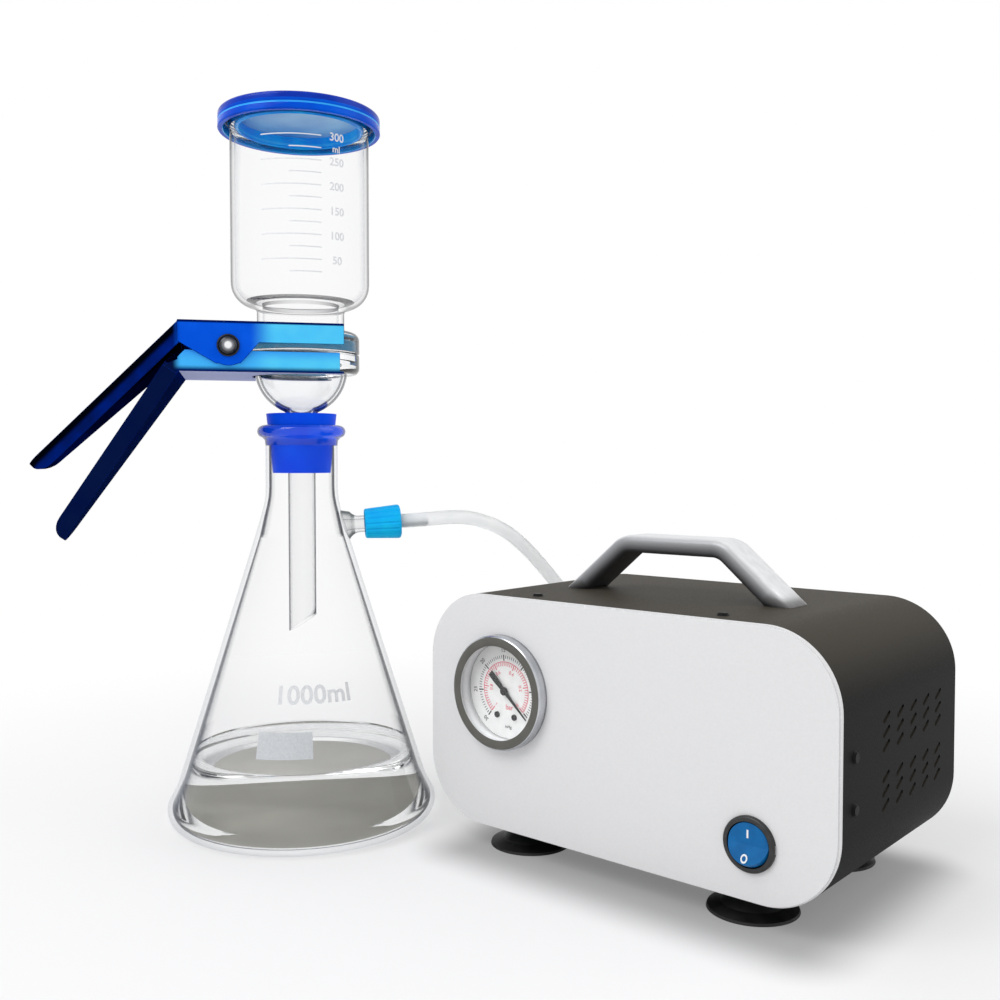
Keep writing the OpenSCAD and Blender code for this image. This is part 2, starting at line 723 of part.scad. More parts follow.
module rear_screws() {
    color("black") rear_screw_axes() {
        translate([0, 0, -rear_t - 1.5]) cylinder(r = screw_r, h = 2 * rear_t + 1.5);
        translate([0, 0, rear_t]) cylinder(r1 = 2.8, r2 = 2, h = 1.2);
    }
}

// Flat bar bent into a low trapezoid: both bends are concentric arcs
module handle() {
    slope = atan(handle_h / (handle_half - grip_half));
    leg_w = handle_t / sin(slope);         // level width of a sloping leg
    bend = 17;
    bend_x = grip_half - bend * tan(slope / 2);
    bend_z = handle_h - bend;
    color("silver") difference() {
        translate([mid_x, grip_y + handle_w / 2, top_z]) rotate([90, 0, 0]) linear_extrude(handle_w)
            polygon(concat([[-handle_half, 0]], arc(-bend_x, bend_z, bend, 90 + slope, 90),
                arc(bend_x, bend_z, bend, 90, 90 - slope), [[handle_half, 0], [handle_half - leg_w, 0]],
                arc(bend_x, bend_z, bend - handle_t, 90 - slope, 90),
                arc(-bend_x, bend_z, bend - handle_t, 90, 90 + slope), [[-handle_half + leg_w, 0]]));
        handle_screw_axes() translate([0, 0, -1]) cylinder(r = screw_r + seat, h = 1 + handle_hole);
    }
}

module handle_screws() {
    color("gray") handle_screw_axes() {
        translate([0, 0, -case_t]) cylinder(r = screw_r, h = case_t + handle_hole - 0.5);
        translate([0, 0, -case_t - 2]) cylinder(r = 2.8, h = 2);
    }
}

// Suction foot: a shallow cup with a stem
module foot(x, y) {
    color("black") translate([x, y, 0]) difference() {
        rotate_extrude() polygon([[0, 1.8], [9, 1.8], [foot_r - 2.5, 0], [foot_r, 0], [foot_r - 0.4, 1.2],
            [foot_r - 6, 3.2], [12, 5], [10.5, 6.4], [11.5, 7.6], [11.5, foot_h - 1.6], [10, foot_h],
            [0, foot_h]]);
        translate([0, 0, 4]) cylinder(r = stud_r + seat, h = foot_h);
    }
}
module foot_front_left() { foot(foot_x[0], foot_y[0]); }
module foot_front_right() { foot(foot_x[1], foot_y[0]); }
module foot_rear_left() { foot(foot_x[0], foot_y[1]); }
module foot_rear_right() { foot(foot_x[1], foot_y[1]); }

module foot_studs() {
    color("silver") at_feet() translate([0, 0, 4.1]) cylinder(r = stud_r, h = in_low_z + 4 - 4.1);
}

module foot_nuts() {
    color("silver") at_feet() translate([0, 0, in_low_z]) difference() {
        cylinder(r = foot_nut_r, h = 3, $fn = 6);
        translate([0, 0, -1]) cylinder(r = stud_r + seat, h = 5);
    }
}

// ---- Gauge, seen in its own frame: X right, Y up, Z towards the viewer, origin on the panel's face ----

module at_gauge() { translate(gauge_at) rotate([90, 0, 0]) children(); }

dial_depth = 3.5;                       // the dial's face lies this far behind the panel's face
dial_t = 0.8;
lens_t = 1.5;
lens_front = gauge_front - 1;
needle_t = 0.5;

module ring(r_out, r_in, h) {
    difference() {
        cylinder(r = r_out, h = h);
        translate([0, 0, -1]) cylinder(r = r_in, h = h + 2);
    }
}

module gauge_case() {
    wall = gauge_body_r - dial_r - slack;
    color("darkslategray") at_gauge() {
        difference() {
            union() {
                translate([0, 0, -gauge_depth])
                    cylinder(r = gauge_body_r, h = gauge_depth + lens_front - lens_t);
                translate([0, 0, -gauge_depth - 8]) cylinder(r = 5, h = 9);
                translate([0, 0, -gauge_depth - 18]) cylinder(r = tail_r, h = 11);
            }
            translate([0, 0, -gauge_depth + 1.5])
                cylinder(r = gauge_body_r - wall, h = gauge_depth + lens_front);
            translate([0, 0, -gauge_depth - 19]) cylinder(r = nipple_bore, h = 22);
        }
    }
}

module gauge_bezel() {
    color("gray") at_gauge() rotate_extrude() polygon(concat([[gauge_body_r + seat, 0], [gauge_r, 0],
        [gauge_r, gauge_front - 1.6]], arc(gauge_r - 1.6, gauge_front - 1.6, 1.6, 0, 90, 4),
        [[dial_r + 1.6, gauge_front], [dial_r + 0.4, gauge_front - 0.6], [dial_r + 0.4, lens_front],
            [lens_r + seat, lens_front], [lens_r + seat, lens_front - lens_t],
            [gauge_body_r + seat, lens_front - lens_t]]));
}

module gauge_lens() {
    color("white", 0.3) at_gauge() translate([0, 0, lens_front - lens_t]) cylinder(r = lens_r, h = lens_t);
}

dial_screw_x = [-5.5, 5.5];
dial_screw_y = -12.4;

module gauge_dial() {
    color("white") at_gauge() translate([0, 0, -dial_depth - dial_t]) difference() {
        cylinder(r = dial_r, h = dial_t);
        translate([0, 0, -1]) cylinder(r = arbor_r + seat, h = dial_t + 2);
        for (x = dial_screw_x) translate([x, dial_screw_y, -1]) cylinder(r = 0.8 + seat, h = dial_t + 2);
    }
}

module dial_screws() {
    color("black") at_gauge() for (x = dial_screw_x) translate([x, dial_screw_y, -dial_depth - dial_t - 3]) {
        cylinder(r = 0.8, h = dial_t + 3);
        translate([0, 0, dial_t + 3]) cylinder(r = 1.5, h = 0.7);
    }
}

module gauge_pointer() {
    tip = dial_r - 5;
    tail = 12;
    color("black") at_gauge() translate([0, 0, -dial_depth + 1.2]) {
        rotate([0, 0, rest_angle]) linear_extrude(needle_t)
            polygon([[-tail, -1.5], [-tail + 5, -1.5], [0, -0.9], [tip, -0.2], [tip, 0.2], [0, 0.9],
                [-tail + 5, 1.5], [-tail, 1.5]]);
        cylinder(r = 2, h = 1);
        translate([0, 0, -12]) cylinder(r = arbor_r, h = 12.5);
    }
}

// Bourdon tube on its block, behind the dial
module gauge_movement() {
    back = -gauge_depth + 1.5;
    block = 8;
    color("goldenrod") at_gauge() difference() {
        union() {
            translate([0, 0, back + 5]) rotate([0, 0, -80]) rotate_extrude(angle = 250)
                translate([15, 0]) square([2.4, 6]);
            translate([0, -15, back]) translate([-block / 2, -3, 0]) cube([block, 9, 12]);
            translate([-block / 2, -10, back]) cube([block, 14, 4]);
            translate([-block / 2, -block / 2, back]) cube([block, block, 19]);
            for (x = dial_screw_x) translate([x, dial_screw_y, back])
                cylinder(r = 2, h = -dial_depth - dial_t - back);
        }
        translate([0, 0, back + 3]) cylinder(r = arbor_r + seat, h = 30);
        for (x = dial_screw_x) translate([x, dial_screw_y, -dial_depth - dial_t - 3.2])
            cylinder(r = 0.8 + seat, h = 5);
    }
}

// Strap over the gauge's back, drawn against the panel by its stem's nut
module gauge_bracket() {
    leg_x = gauge_body_r + 1;
    w = 14;
    color("silver") at_gauge() difference() {
        union() {
            for (s = [-1, 1]) translate([s > 0 ? leg_x : -leg_x - 2, -w / 2, -gauge_depth - 2.05])
                cube([2, w, gauge_depth + 2.05 - front_t]);
            translate([-leg_x - 2, -w / 2, -gauge_depth - 2.05]) cube([2 * leg_x + 4, w, 2]);
            translate([0, 0, -gauge_depth - 6]) cylinder(r = 8, h = 4.5, $fn = 6);
        }
        translate([0, 0, -gauge_depth - 9]) cylinder(r = 5 + seat, h = 12);
    }
}

// ---- Switch, in the same kind of frame ----

module at_switch() { translate(switch_at) rotate([90, 0, 0]) children(); }

rocker_z = -1;                          // the rocker's pivot, behind the panel's face
bezel_t = 2;
axle_r = 1.2;

module switch_housing() {
    color("black") at_switch() difference() {
        union() {
            rotate_extrude() polygon(concat([[0, 0], [switch_r, 0], [switch_r, bezel_t - 1]],
                arc(switch_r - 1, bezel_t - 1, 1, 0, 90, 4), [[0, bezel_t]]));
            translate([0, 0, -switch_depth]) cylinder(r = switch_body_r, h = switch_depth);
        }
        translate([0, 0, -switch_depth + 3]) cylinder(r = rocker_r + 0.15, h = switch_depth);
        translate([-switch_r, 0, rocker_z]) along_x(axle_r + seat, 2 * switch_r);
        for (s = [-1, 1]) translate([s > 0 ? switch_body_r - 0.3 : -switch_body_r - 2.7, -2, rocker_z - 2])
            cube([3, 4, 4]);
    }
}

module switch_rocker() {
    lift = 12 * tan(rocker_swing);
    color("steelblue") at_switch() translate([0, 0, rocker_z]) {
        intersection() {
            sphere(r = rocker_r, $fn = 96);
            rotate([90, 0, 90]) translate([0, 0, -12]) linear_extrude(24)
                polygon([[-12, -4], [12, -4], [12, rocker_face], [0, rocker_face],
                    [-12, rocker_face + lift]]);
        }
        translate([-switch_body_r + 0.5, 0, 0]) along_x(axle_r, 2 * switch_body_r - 1);
    }
}

module switch_terminals() {
    color("goldenrod") at_switch() for (y = [-6, 6]) translate([-3.15, y - 0.4, -switch_depth - 9])
        cube([6.3, 0.8, 9]);
}

// ---- Rear fittings ----

module power_inlet() {
    w = inlet_size.x;
    h = inlet_size.y;
    color("black") translate([inlet_at.x, rear_y, inlet_at.z]) difference() {
        union() {
            translate([-w / 2 - 3, rear_t, -h / 2 - 3]) cube([w + 6, 2.5, h + 6]);
            translate([-w / 2 + 0.2, -16, -h / 2 + 0.2]) cube([w - 0.4, 16 + rear_t, h - 0.4]);
        }
        translate([-w / 2 + 2, -13, -h / 2 + 2.5]) cube([w - 4, 20, h - 5]);
        for (p = inlet_pin_at) translate([p.x - 2.05, -17, p.y - 1.05]) cube([4.1, 5, 2.1]);
    }
}

inlet_pin_at = [[-7, -2], [0, 3], [7, -2]];

module inlet_pins() {
    color("gold") translate([inlet_at.x, rear_y, inlet_at.z]) for (p = inlet_pin_at)
        translate([p.x - 2, -22, p.y - 1]) cube([4, 20, 2]);
}

// Elbow that carries the hose behind the pump
module vacuum_port() {
    shoulder_z = hose_route[len(hose_route) - 1].z;
    in_y = rear_y - tail_l;
    color("goldenrod") difference() {
        union() {
            translate([port_x, rear_y - 4, port_z]) along_y(port_r, port_y - rear_y + 4);
            translate([port_x, port_y, port_z - port_r])
                cylinder(r = port_r, h = shoulder_z - port_z + port_r);
            translate([port_x, port_y, shoulder_z]) cylinder(r = barb_r - 0.4, h = barb_l);
            for (i = [0:2]) translate([port_x, port_y, shoulder_z + 1 + i * barb_l / 3])
                cylinder(r1 = barb_r, r2 = barb_r - 0.4, h = barb_l / 3 - 1);
            translate([port_x, in_y, port_z]) along_y(tail_r, tail_l - 2);
            translate([port_x, rear_y + rear_t, port_z]) along_y(7, 2.5);
            translate([port_x, rear_y - 3.5, port_z]) along_y(7, 3.5);
        }
        translate([port_x, in_y - 1, port_z]) along_y(port_bore, port_y - in_y + 1);
        translate([port_x, port_y, port_z]) cylinder(r = port_bore, h = shoulder_z + barb_l);
    }
}

module exhaust_silencer() {
    color("goldenrod") translate(silencer_at) difference() {
        union() {
            translate([0, rear_t, 0]) along_y(7.5, 3);
            translate([0, rear_t + 3, 0]) along_y(6.2, 16);
            translate([0, rear_t + 19, 0]) along_y(6.2, 3, 4);
            translate([0, -8, 0]) along_y(5, 8 + rear_t);
            translate([0, -3, 0]) along_y(7.5, 3);
            translate([0, -silencer_tail, 0]) along_y(tail_r, silencer_tail - 6);
        }
        translate([0, -silencer_tail - 1, 0]) along_y(port_bore, 2 * silencer_tail);
    }
}

// ---- Pump works ----

module motor_body() {
    core_r = motor_r * 0.56 + 0.4;
    color("darkgray") difference() {
        union() {
            translate([motor_x, axis_y, axis_z]) along_x(motor_r, motor_l);
            translate([motor_x + motor_l, axis_y, axis_z]) along_x(10, 6);
        }
        translate([motor_x - 1, axis_y, axis_z]) along_x(shaft_r + run_gap, motor_l + 8);
        translate([motor_x + 8, axis_y, axis_z]) along_x(core_r, motor_l - 16);
    }
}

module motor_rotor() {
    color("dimgray") translate([motor_x + 11, axis_y, axis_z]) difference() {
        along_x(motor_r * 0.56, motor_l - 22);
        translate([-1, 0, 0]) along_x(shaft_r + seat, motor_l);
    }
}

module motor_shaft() {
    start_x = rod_x - 9;
    color("silver") translate([start_x, axis_y, axis_z]) along_x(shaft_r, motor_x + motor_l + 5 - start_x);
}

module eccentric() {
    color("gray") difference() {
        union() {
            translate([rod_x - rod_w / 2, axis_y, axis_z + throw]) along_x(eccentric_r, rod_w);
            translate([rod_x + rod_w / 2, axis_y, axis_z]) along_x(8.5, 5);
        }
        translate([rod_x - 12, axis_y, axis_z]) along_x(shaft_r + seat, 30);
    }
}

module crank_bearing() {
    color("silver") translate([rod_x - rod_w / 2 + 0.5, axis_y, axis_z + throw]) difference() {
        along_x(bearing_r, rod_w - 1);
        translate([-1, 0, 0]) along_x(eccentric_r + run_gap, rod_w + 2);
    }
}

module connecting_rod() {
    hub = axis_z + throw;
    color("lightgray") difference() {
        union() {
            translate([rod_x - rod_w / 2 + 0.5, axis_y, hub]) along_x(bearing_r + 3.5, rod_w - 1);
            translate([rod_x - rod_w / 2 + 0.5, axis_y - 5, hub + bearing_r])
                cube([rod_w - 1, 10, deck_z - hub - bearing_r - 2]);
            translate([rod_x, axis_y, deck_z - 3]) cylinder(r = disc_r, h = 3);
        }
        translate([rod_x - rod_w, axis_y, hub]) along_x(bearing_r + seat, 2 * rod_w);
        translate([rod_x, axis_y, deck_z - 9]) cylinder(r = 2 + seat, h = 10);
    }
}

module diaphragm() {
    color("darkslategray") translate([rod_x, axis_y, deck_z]) ring(diaphragm_r, 2 + seat, diaphragm_t);
}

module clamp_disc() {
    color("silver") translate([rod_x, axis_y, deck_z]) {
        translate([0, 0, diaphragm_t]) cylinder(r = disc_r, h = disc_t);
        translate([0, 0, -8.5]) cylinder(r = 2, h = 8.5 + diaphragm_t);
    }
}

head_half = diaphragm_r + 3;
module head_screw_axes() {
    off = head_half - 5;
    for (x = [-off, off], y = [-off, off]) translate([rod_x + x, axis_y + y, deck_z]) children();
}

module crank_housing() {
    low = cradle_z + cradle_t;
    orbit = bearing_r + 3.5 + throw + 2;
    color("silver") difference() {
        union() {
            translate([crank_x, axis_y - head_half, low]) cube([crank_w, 2 * head_half, deck_z - low]);
            translate([rod_x, axis_y, deck_z]) difference() {
                translate([-head_half, -head_half, 0]) cube([2 * head_half, 2 * head_half, diaphragm_t]);
                translate([0, 0, -1]) cylinder(r = diaphragm_r + seat, h = diaphragm_t + 2);
            }
        }
        translate([crank_x - 1, axis_y, axis_z]) along_x(orbit, crank_w - 6);
        translate([rod_x, axis_y, axis_z]) cylinder(r = diaphragm_r - 5, h = deck_z);
        translate([motor_x - 10, axis_y, axis_z]) along_x(9.5, 12);
        head_screw_axes() translate([0, 0, -10]) cylinder(r = screw_r + seat, h = 20);
    }
}

module valve_plate() {
    z = deck_z + diaphragm_t;
    color("gray") difference() {
        translate([rod_x - head_half, axis_y - head_half, z]) cube([2 * head_half, 2 * head_half, plate_t]);
        translate([rod_x, axis_y, z - 1]) cylinder(r = diaphragm_r - 5, h = disc_t + 1.8);
        for (s = [-1, 1]) translate([rod_x + s * 9, axis_y, z]) cylinder(r = 2.5, h = plate_t + 1);
        head_screw_axes() cylinder(r = screw_r + seat, h = 20);
    }
}

module pump_head() {
    z = deck_z + diaphragm_t + plate_t;
    barb_z = z + head_t / 2;
    color("gray") difference() {
        union() {
            translate([rod_x - head_half, axis_y - head_half, z])
                cube([2 * head_half, 2 * head_half, head_t]);
            for (y = [-9, 9]) translate([rod_x - head_half - 9, axis_y + y, barb_z]) along_x(tail_r, 10);
            translate([rod_x + head_half - 1, axis_y, barb_z]) along_x(tail_r, 10);
        }
        for (s = [-1, 1]) translate([rod_x + s * 9, axis_y, z - 1]) cylinder(r = 7, h = head_t - 2);
        for (y = [-9, 9]) translate([rod_x - head_half - 10, axis_y + y, barb_z])
            along_x(nipple_bore, head_half - 3);
        translate([rod_x + 12, axis_y, barb_z]) along_x(nipple_bore, head_half);
        head_screw_axes() cylinder(r = screw_r + seat, h = 40);
    }
}

module head_screws() {
    z = diaphragm_t + plate_t + head_t;
    color("black") head_screw_axes() {
        translate([0, 0, -9]) cylinder(r = screw_r, h = z + 9);
        translate([0, 0, z]) cylinder(r = 2.8, h = 2);
    }
}

cradle_x = [crank_x + 6, motor_x + motor_l - 18];
mount_r = 6;
// The mounts stand clear in front of the rear feet's nuts
mount_half = foot_y[1] - axis_y - foot_nut_r - mount_r - 1.2;
module mount_axes() {
    for (x = cradle_x, y = [axis_y - mount_half, axis_y + mount_half]) translate([x, y, in_low_z]) children();
}

module motor_cradle() {
    saddle_t = 4;
    color("silver") difference() {
        union() {
            translate([cradle_x[0] - 8, axis_y - 30, cradle_z])
                cube([cradle_x[1] - cradle_x[0] + 16, 60, cradle_t]);
            for (x = [motor_x + 12, motor_x + motor_l - 20]) translate([x, axis_y - 22, cradle_z])
                cube([saddle_t, 44, 15]);
        }
        translate([motor_x - 1, axis_y, axis_z]) along_x(motor_r + seat, motor_l + 2);
    }
}

module rubber_mounts() { color("black") mount_axes() cylinder(r = mount_r, h = cradle_z - in_low_z); }

// Tubes inside the case: from the port to the head, and from the head to the gauge
module suction_tube() {
    barb_z = deck_z + diaphragm_t + plate_t + head_t / 2;
    head_x = rod_x - head_half - 9;
    gauge_y = case_y + gauge_depth + 18;
    color("ghostwhite") {
        tube([[port_x, rear_y - tail_l, port_z], [port_x, rear_y - tail_l - 6, port_z],
            [port_x - 1, rear_y - tail_l - 12, port_z + 2], [port_x - 2, rear_y - tail_l - 18, port_z + 8],
            [port_x - 2, rear_y - tail_l - 21, port_z + 18],
            [port_x - 2, axis_y + 18, port_z + 30], [port_x - 1, axis_y + 14, barb_z - 14],
            [port_x + 3, axis_y + 11, barb_z - 5], [port_x + 10, axis_y + 9, barb_z - 0.5],
            [port_x + 18, axis_y + 9, barb_z], [head_x, axis_y + 9, barb_z]], tube_r, 10, [0.9, 0.3, -0.4]);
        tube([[gauge_at.x, gauge_y, gauge_at.z], [gauge_at.x, gauge_y + 4, gauge_at.z],
            [gauge_at.x - 4, gauge_y + 10, gauge_at.z + 1], [gauge_at.x - 11, gauge_y + 14, gauge_at.z + 4],
            [gauge_at.x - 15, axis_y - 9, barb_z - 8], [gauge_at.x - 13, axis_y - 9, barb_z - 2],
            [gauge_at.x - 7, axis_y - 9, barb_z], [head_x, axis_y - 9, barb_z]],
            gauge_tube_r, 8, [0.2, 1, -0.3]);
    }
}

module exhaust_tube() {
    barb_z = deck_z + diaphragm_t + plate_t + head_t / 2;
    head_x = rod_x + head_half + 9;
    color("ghostwhite") tube([[head_x, axis_y, barb_z], [head_x + 6, axis_y, barb_z],
        [head_x + 13, axis_y + 8, barb_z - 3], [head_x + 12, axis_y + 18, barb_z - 10],
        [head_x + 6, axis_y + 28, barb_z - 18], [head_x - 6, axis_y + 34, barb_z - 28],
        [silencer_at.x + 16, axis_y + 35, barb_z - 38], [silencer_at.x + 5, axis_y + 35, silencer_at.z + 6],
        [silencer_at.x, axis_y + 36, silencer_at.z], [silencer_at.x, rear_y - silencer_tail, silencer_at.z]],
        tube_r, 10, [0.3, 0.2, 0.9]);
}

flask();
filtrate();
stopper();
filter_base();
frit_disc();
filter_membrane();
funnel_cup();
cup_lid();
clamp_lower_lever();
clamp_upper_lever();
clamp_pin();
clamp_spring();
side_arm_cap();
barb_seal();
hose_barb();
hose();
case_shell();
front_panel();
rear_panel();
case_screws();
rear_screws();
handle();
handle_screws();
foot_front_left();
foot_front_right();
foot_rear_left();
foot_rear_right();
foot_studs();
foot_nuts();
gauge_case();
gauge_bezel();
gauge_lens();
gauge_dial();
dial_screws();
gauge_pointer();
gauge_movement();
gauge_bracket();
switch_housing();
switch_rocker();
switch_terminals();
power_inlet();
inlet_pins();
vacuum_port();
exhaust_silencer();
motor_body();
motor_rotor();
motor_shaft();
eccentric();
crank_bearing();
connecting_rod();
diaphragm();
clamp_disc();
crank_housing();
valve_plate();
pump_head();
head_screws();
motor_cradle();
rubber_mounts();
suction_tube();
exhaust_tube();
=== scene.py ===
# Vacuum filtration unit: a glass funnel clamped on a filtering flask, with a hose to a boxed pump
import bmesh
import bpy
import json
import math
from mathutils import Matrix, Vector
from mathutils.bvhtree import BVHTree


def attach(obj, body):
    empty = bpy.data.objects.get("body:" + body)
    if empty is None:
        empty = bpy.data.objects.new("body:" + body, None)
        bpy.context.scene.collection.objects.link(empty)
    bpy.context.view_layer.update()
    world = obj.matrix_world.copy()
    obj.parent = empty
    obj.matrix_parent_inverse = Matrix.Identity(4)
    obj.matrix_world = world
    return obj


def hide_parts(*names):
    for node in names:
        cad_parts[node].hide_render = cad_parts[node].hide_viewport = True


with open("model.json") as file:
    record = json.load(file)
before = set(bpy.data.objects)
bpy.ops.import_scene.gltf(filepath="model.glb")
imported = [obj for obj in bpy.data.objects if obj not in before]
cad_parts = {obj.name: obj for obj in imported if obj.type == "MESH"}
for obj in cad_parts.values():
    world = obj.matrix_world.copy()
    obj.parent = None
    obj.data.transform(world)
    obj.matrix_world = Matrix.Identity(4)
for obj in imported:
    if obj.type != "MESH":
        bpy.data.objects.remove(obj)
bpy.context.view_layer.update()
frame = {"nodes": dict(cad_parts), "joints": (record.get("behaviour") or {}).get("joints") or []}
scene = bpy.context.scene
nodes = frame["nodes"]
joints = {joint["name"]: joint for joint in frame["joints"]}
mm = 0.001
print("frame loaded:", len(nodes), "nodes")

# camera: place in metres, heading and dip in degrees
viewing = {"place": (0.4677, -0.3756, 0.193), "heading": 41, "dip": 2.1, "lens": 39.5}
eyeData = bpy.data.cameras.new("eye")
eyeData.lens = viewing["lens"]
eye = bpy.data.objects.new("eye", eyeData)
eye.location = viewing["place"]
eye.rotation_euler = (math.radians(90 - viewing["dip"]), 0, math.radians(viewing["heading"]))
scene.collection.objects.link(eye)
scene.camera = eye


# shader steps that the finishes are made of
def freshFinish(name):
    # a new material with its shader and an object-space position to build patterns from
    mat = bpy.data.materials.new(name)
    mat.use_nodes = True
    tree = mat.node_tree
    place = tree.nodes.new("ShaderNodeTexCoord")
    return mat, tree, tree.nodes["Principled BSDF"], place.outputs["Object"]


def feed(tree, value, socket):
    # a socket takes the output of another step, or a fixed number or colour
    if isinstance(value, bpy.types.NodeSocket):
        tree.links.new(value, socket)
    elif socket.type == "RGBA":
        socket.default_value = (*value, 1)
    else:
        socket.default_value = value


def feedAll(tree, node, sockets):
    for name, value in sockets.items():
        feed(tree, value, node.inputs[name])


def step(tree, kind, output, sockets, **settings):
    # one shader node, set up and fed; gives back the output that is asked for
    node = tree.nodes.new("ShaderNode" + kind)
    for name, value in settings.items():
        setattr(node, name, value)
    feedAll(tree, node, sockets)
    return node.outputs[output]


def vectorStep(tree, operation, first, second=(0, 0, 0), output="Vector"):
    return step(tree, "VectorMath", output, {0: first, 1: second}, operation=operation)


def ramp(tree, value, stops):
    # colour ramp; the first two stops are the ends that it is made with
    node = tree.nodes.new("ShaderNodeValToRGB")
    marks = node.color_ramp.elements
    for k, (spot, colour) in enumerate(stops):
        mark = marks[k] if k < 2 else marks.new(spot)
        mark.position, mark.color = spot, (*colour, 1)
    tree.links.new(value, node.inputs["Fac"])
    return node.outputs["Color"]


def speckle(tree, place, scale, detail=3.0, stretch=None):
    # noise over the object; stretch squeezes it along one or two axes for brushed or drawn stock
    if stretch:
        place = step(tree, "Mapping", "Vector", {"Scale": stretch, "Vector": place})
    return step(tree, "TexNoise", "Fac", {"Scale": scale, "Detail": detail, "Vector": place})


def spread(tree, value, low, high):
    # noise sits mostly between 0.35 and 0.65, so that span is opened out to low..high
    return step(tree, "MapRange", "Result", {"From Min": 0.35, "From Max": 0.65, "To Min": low, "To Max": high,
                                             "Value": value})


def twoTone(tree, value, first, second):
    return ramp(tree, value, [(0.3, first), (0.7, second)])


def roughen(tree, shader, value, strength, depth):
    # bump, depth in metres
    bump = step(tree, "Bump", "Normal", {"Strength": strength, "Distance": depth, "Height": value})
    tree.links.new(bump, shader.inputs["Normal"])


def rampBetween(tree, value, low, high, start=0.0, stop=1.0):
    # eases from start to stop while value goes from low to high
    return step(tree, "MapRange", "Result", {"From Min": low, "From Max": high, "To Min": start, "To Max": stop,
                                             "Value": value}, interpolation_type="SMOOTHSTEP")


def along(tree, place, axis):
    return vectorStep(tree, "DOT_PRODUCT", place, axis, "Value")


def facingShare(tree, axis, low, high):
    # 0..1 as the surface turns towards an axis
    coords = tree.nodes.new("ShaderNodeTexCoord")
    return rampBetween(tree, along(tree, coords.outputs["Normal"], axis), low, high)


def blendColours(tree, share, first, second, way="MIX"):
    return step(tree, "Mix", "Result", {"Factor": share, "A": first, "B": second}, data_type="RGBA", blend_type=way)


def mixShaders(tree, share, first, second, out):
    both = step(tree, "MixShader", "Shader", {"Fac": share, 1: first, 2: second})
    tree.links.new(both, tree.nodes[out].inputs["Surface"])


def turnedAway(tree):
    # 0 where the surface faces the light path, 1 at its edges
    return step(tree, "LayerWeight", "Facing", {"Blend": 0.5})


def makeFinish(name, look):
    # solid finish from a dictionary: two colours, rough range, grain scale, bump scale, strength and depth
    mat, tree, shader, place = freshFinish(name)
    cloud = speckle(tree, place, look["grain"], 4.0, look["stretch"])
    feedAll(tree, shader, {"Base Color": twoTone(tree, cloud, look["dark"], look["light"]),
                           "Roughness": spread(tree, cloud, *look["rough"]), **look["sockets"]})
    roughen(tree, shader, speckle(tree, place, look["pits"], 2.0, look["stretch"]), look["strength"], look["depth"])
    return mat


def makeGlass(name, look):
    # clear solid: refracts, shows a painted dark line just inside its rims (painted shade for the refraction there),
    # and darkens with the length of glass seen through, and lets most light through to the bench
    mat, tree, shader, place = freshFinish(name)
    cloud = speckle(tree, place, look["waves"], 1.0)
    base = twoTone(tree, cloud, look["dark"], look["light"])
    if "rim" in look:
        soft = 0.06  # width of the line's soft edges
        # painted shade: the colour darkens to the rim colour where the surface turns away
        line = ramp(tree, turnedAway(tree), [
            (look["rimFrom"], (1, 1, 1)), (1.0, look["rimPale"]), (look["rimFrom"] + soft, look["rim"]),
            (look["rimTo"], look["rim"]), (look["rimTo"] + soft, look["rimPale"])])
        base = blendColours(tree, 1.0, base, line, "MULTIPLY")
    feedAll(tree, shader, {"Base Color": base, "Roughness": look["rough"], "IOR": look["ior"],
                           "Transmission Weight": look.get("clear", 1.0)})
    roughen(tree, shader, cloud, look["strength"], look["depth"])
    path = tree.nodes.new("ShaderNodeLightPath")
    mixShaders(tree, path.outputs["Is Shadow Ray"], shader.outputs["BSDF"],
               step(tree, "BsdfTransparent", "BSDF", {"Color": look["shadow"]}), "Material Output")
    body = step(tree, "VolumeAbsorption", "Volume", {"Color": look["tint"], "Density": look["density"]})
    tree.links.new(body, tree.nodes["Material Output"].inputs["Volume"])
    return mat


blown = {"waves": 20, "rough": 0.08, "bump": (0.02, 0.0003)}


def makeThinGlass(name, look):
    # blown wall: almost unseen face on, closing to a painted dark line where it turns away, painted shade in place of
    # the refraction at its edge
    mat, tree, shader, place = freshFinish(name)
    cloud = speckle(tree, place, blown["waves"], 2.0)
    cover = ramp(tree, turnedAway(tree), [(spot, (part,) * 3) for spot, part in look["cover"]])
    feedAll(tree, shader, {"Base Color": twoTone(tree, cloud, look["dark"], look["light"]), "Alpha": cover,
                           "Roughness": blown["rough"], "Specular IOR Level": look["shine"]})
    roughen(tree, shader, cloud, *blown["bump"])
    return mat


def dress(piece, mat):
    piece.data.materials.clear()
    piece.data.materials.append(mat)


def level(value):
    # display grey 0..255 to the linear value that renders as it
    part = value / 255
    return part / 12.92 if part <= 0.04045 else ((part + 0.055) / 1.055) ** 2.4


def tone(*rgb):
    return tuple(level(value) for value in rgb)


# light and bench
studio = {"sky": 0.62, "aim": (0.12, 0.04, 0.14),
          "lamps": {"key": ((-0.15, -1.15, 1.45), 15, 1.1), "fill": ((1.3, 0.9, 1.0), 6, 1.2)},  # place, watts, size
          "bounces": {"max": 24, "transmission": 20, "glossy": 4, "diffuse": 3}, "clearBounces": 16}


def seenDirect(tree):
    # 1 for camera, glossy and transmission rays, so metal and glass show the pale backdrop too
    path = tree.nodes.new("ShaderNodeLightPath").outputs
    total = step(tree, "Math", 0, {0: path["Is Camera Ray"], 1: path["Is Glossy Ray"]}, operation="ADD")
    return step(tree, "Math", 0, {0: total, 1: path["Is Transmission Ray"]}, operation="ADD", use_clamp=True)


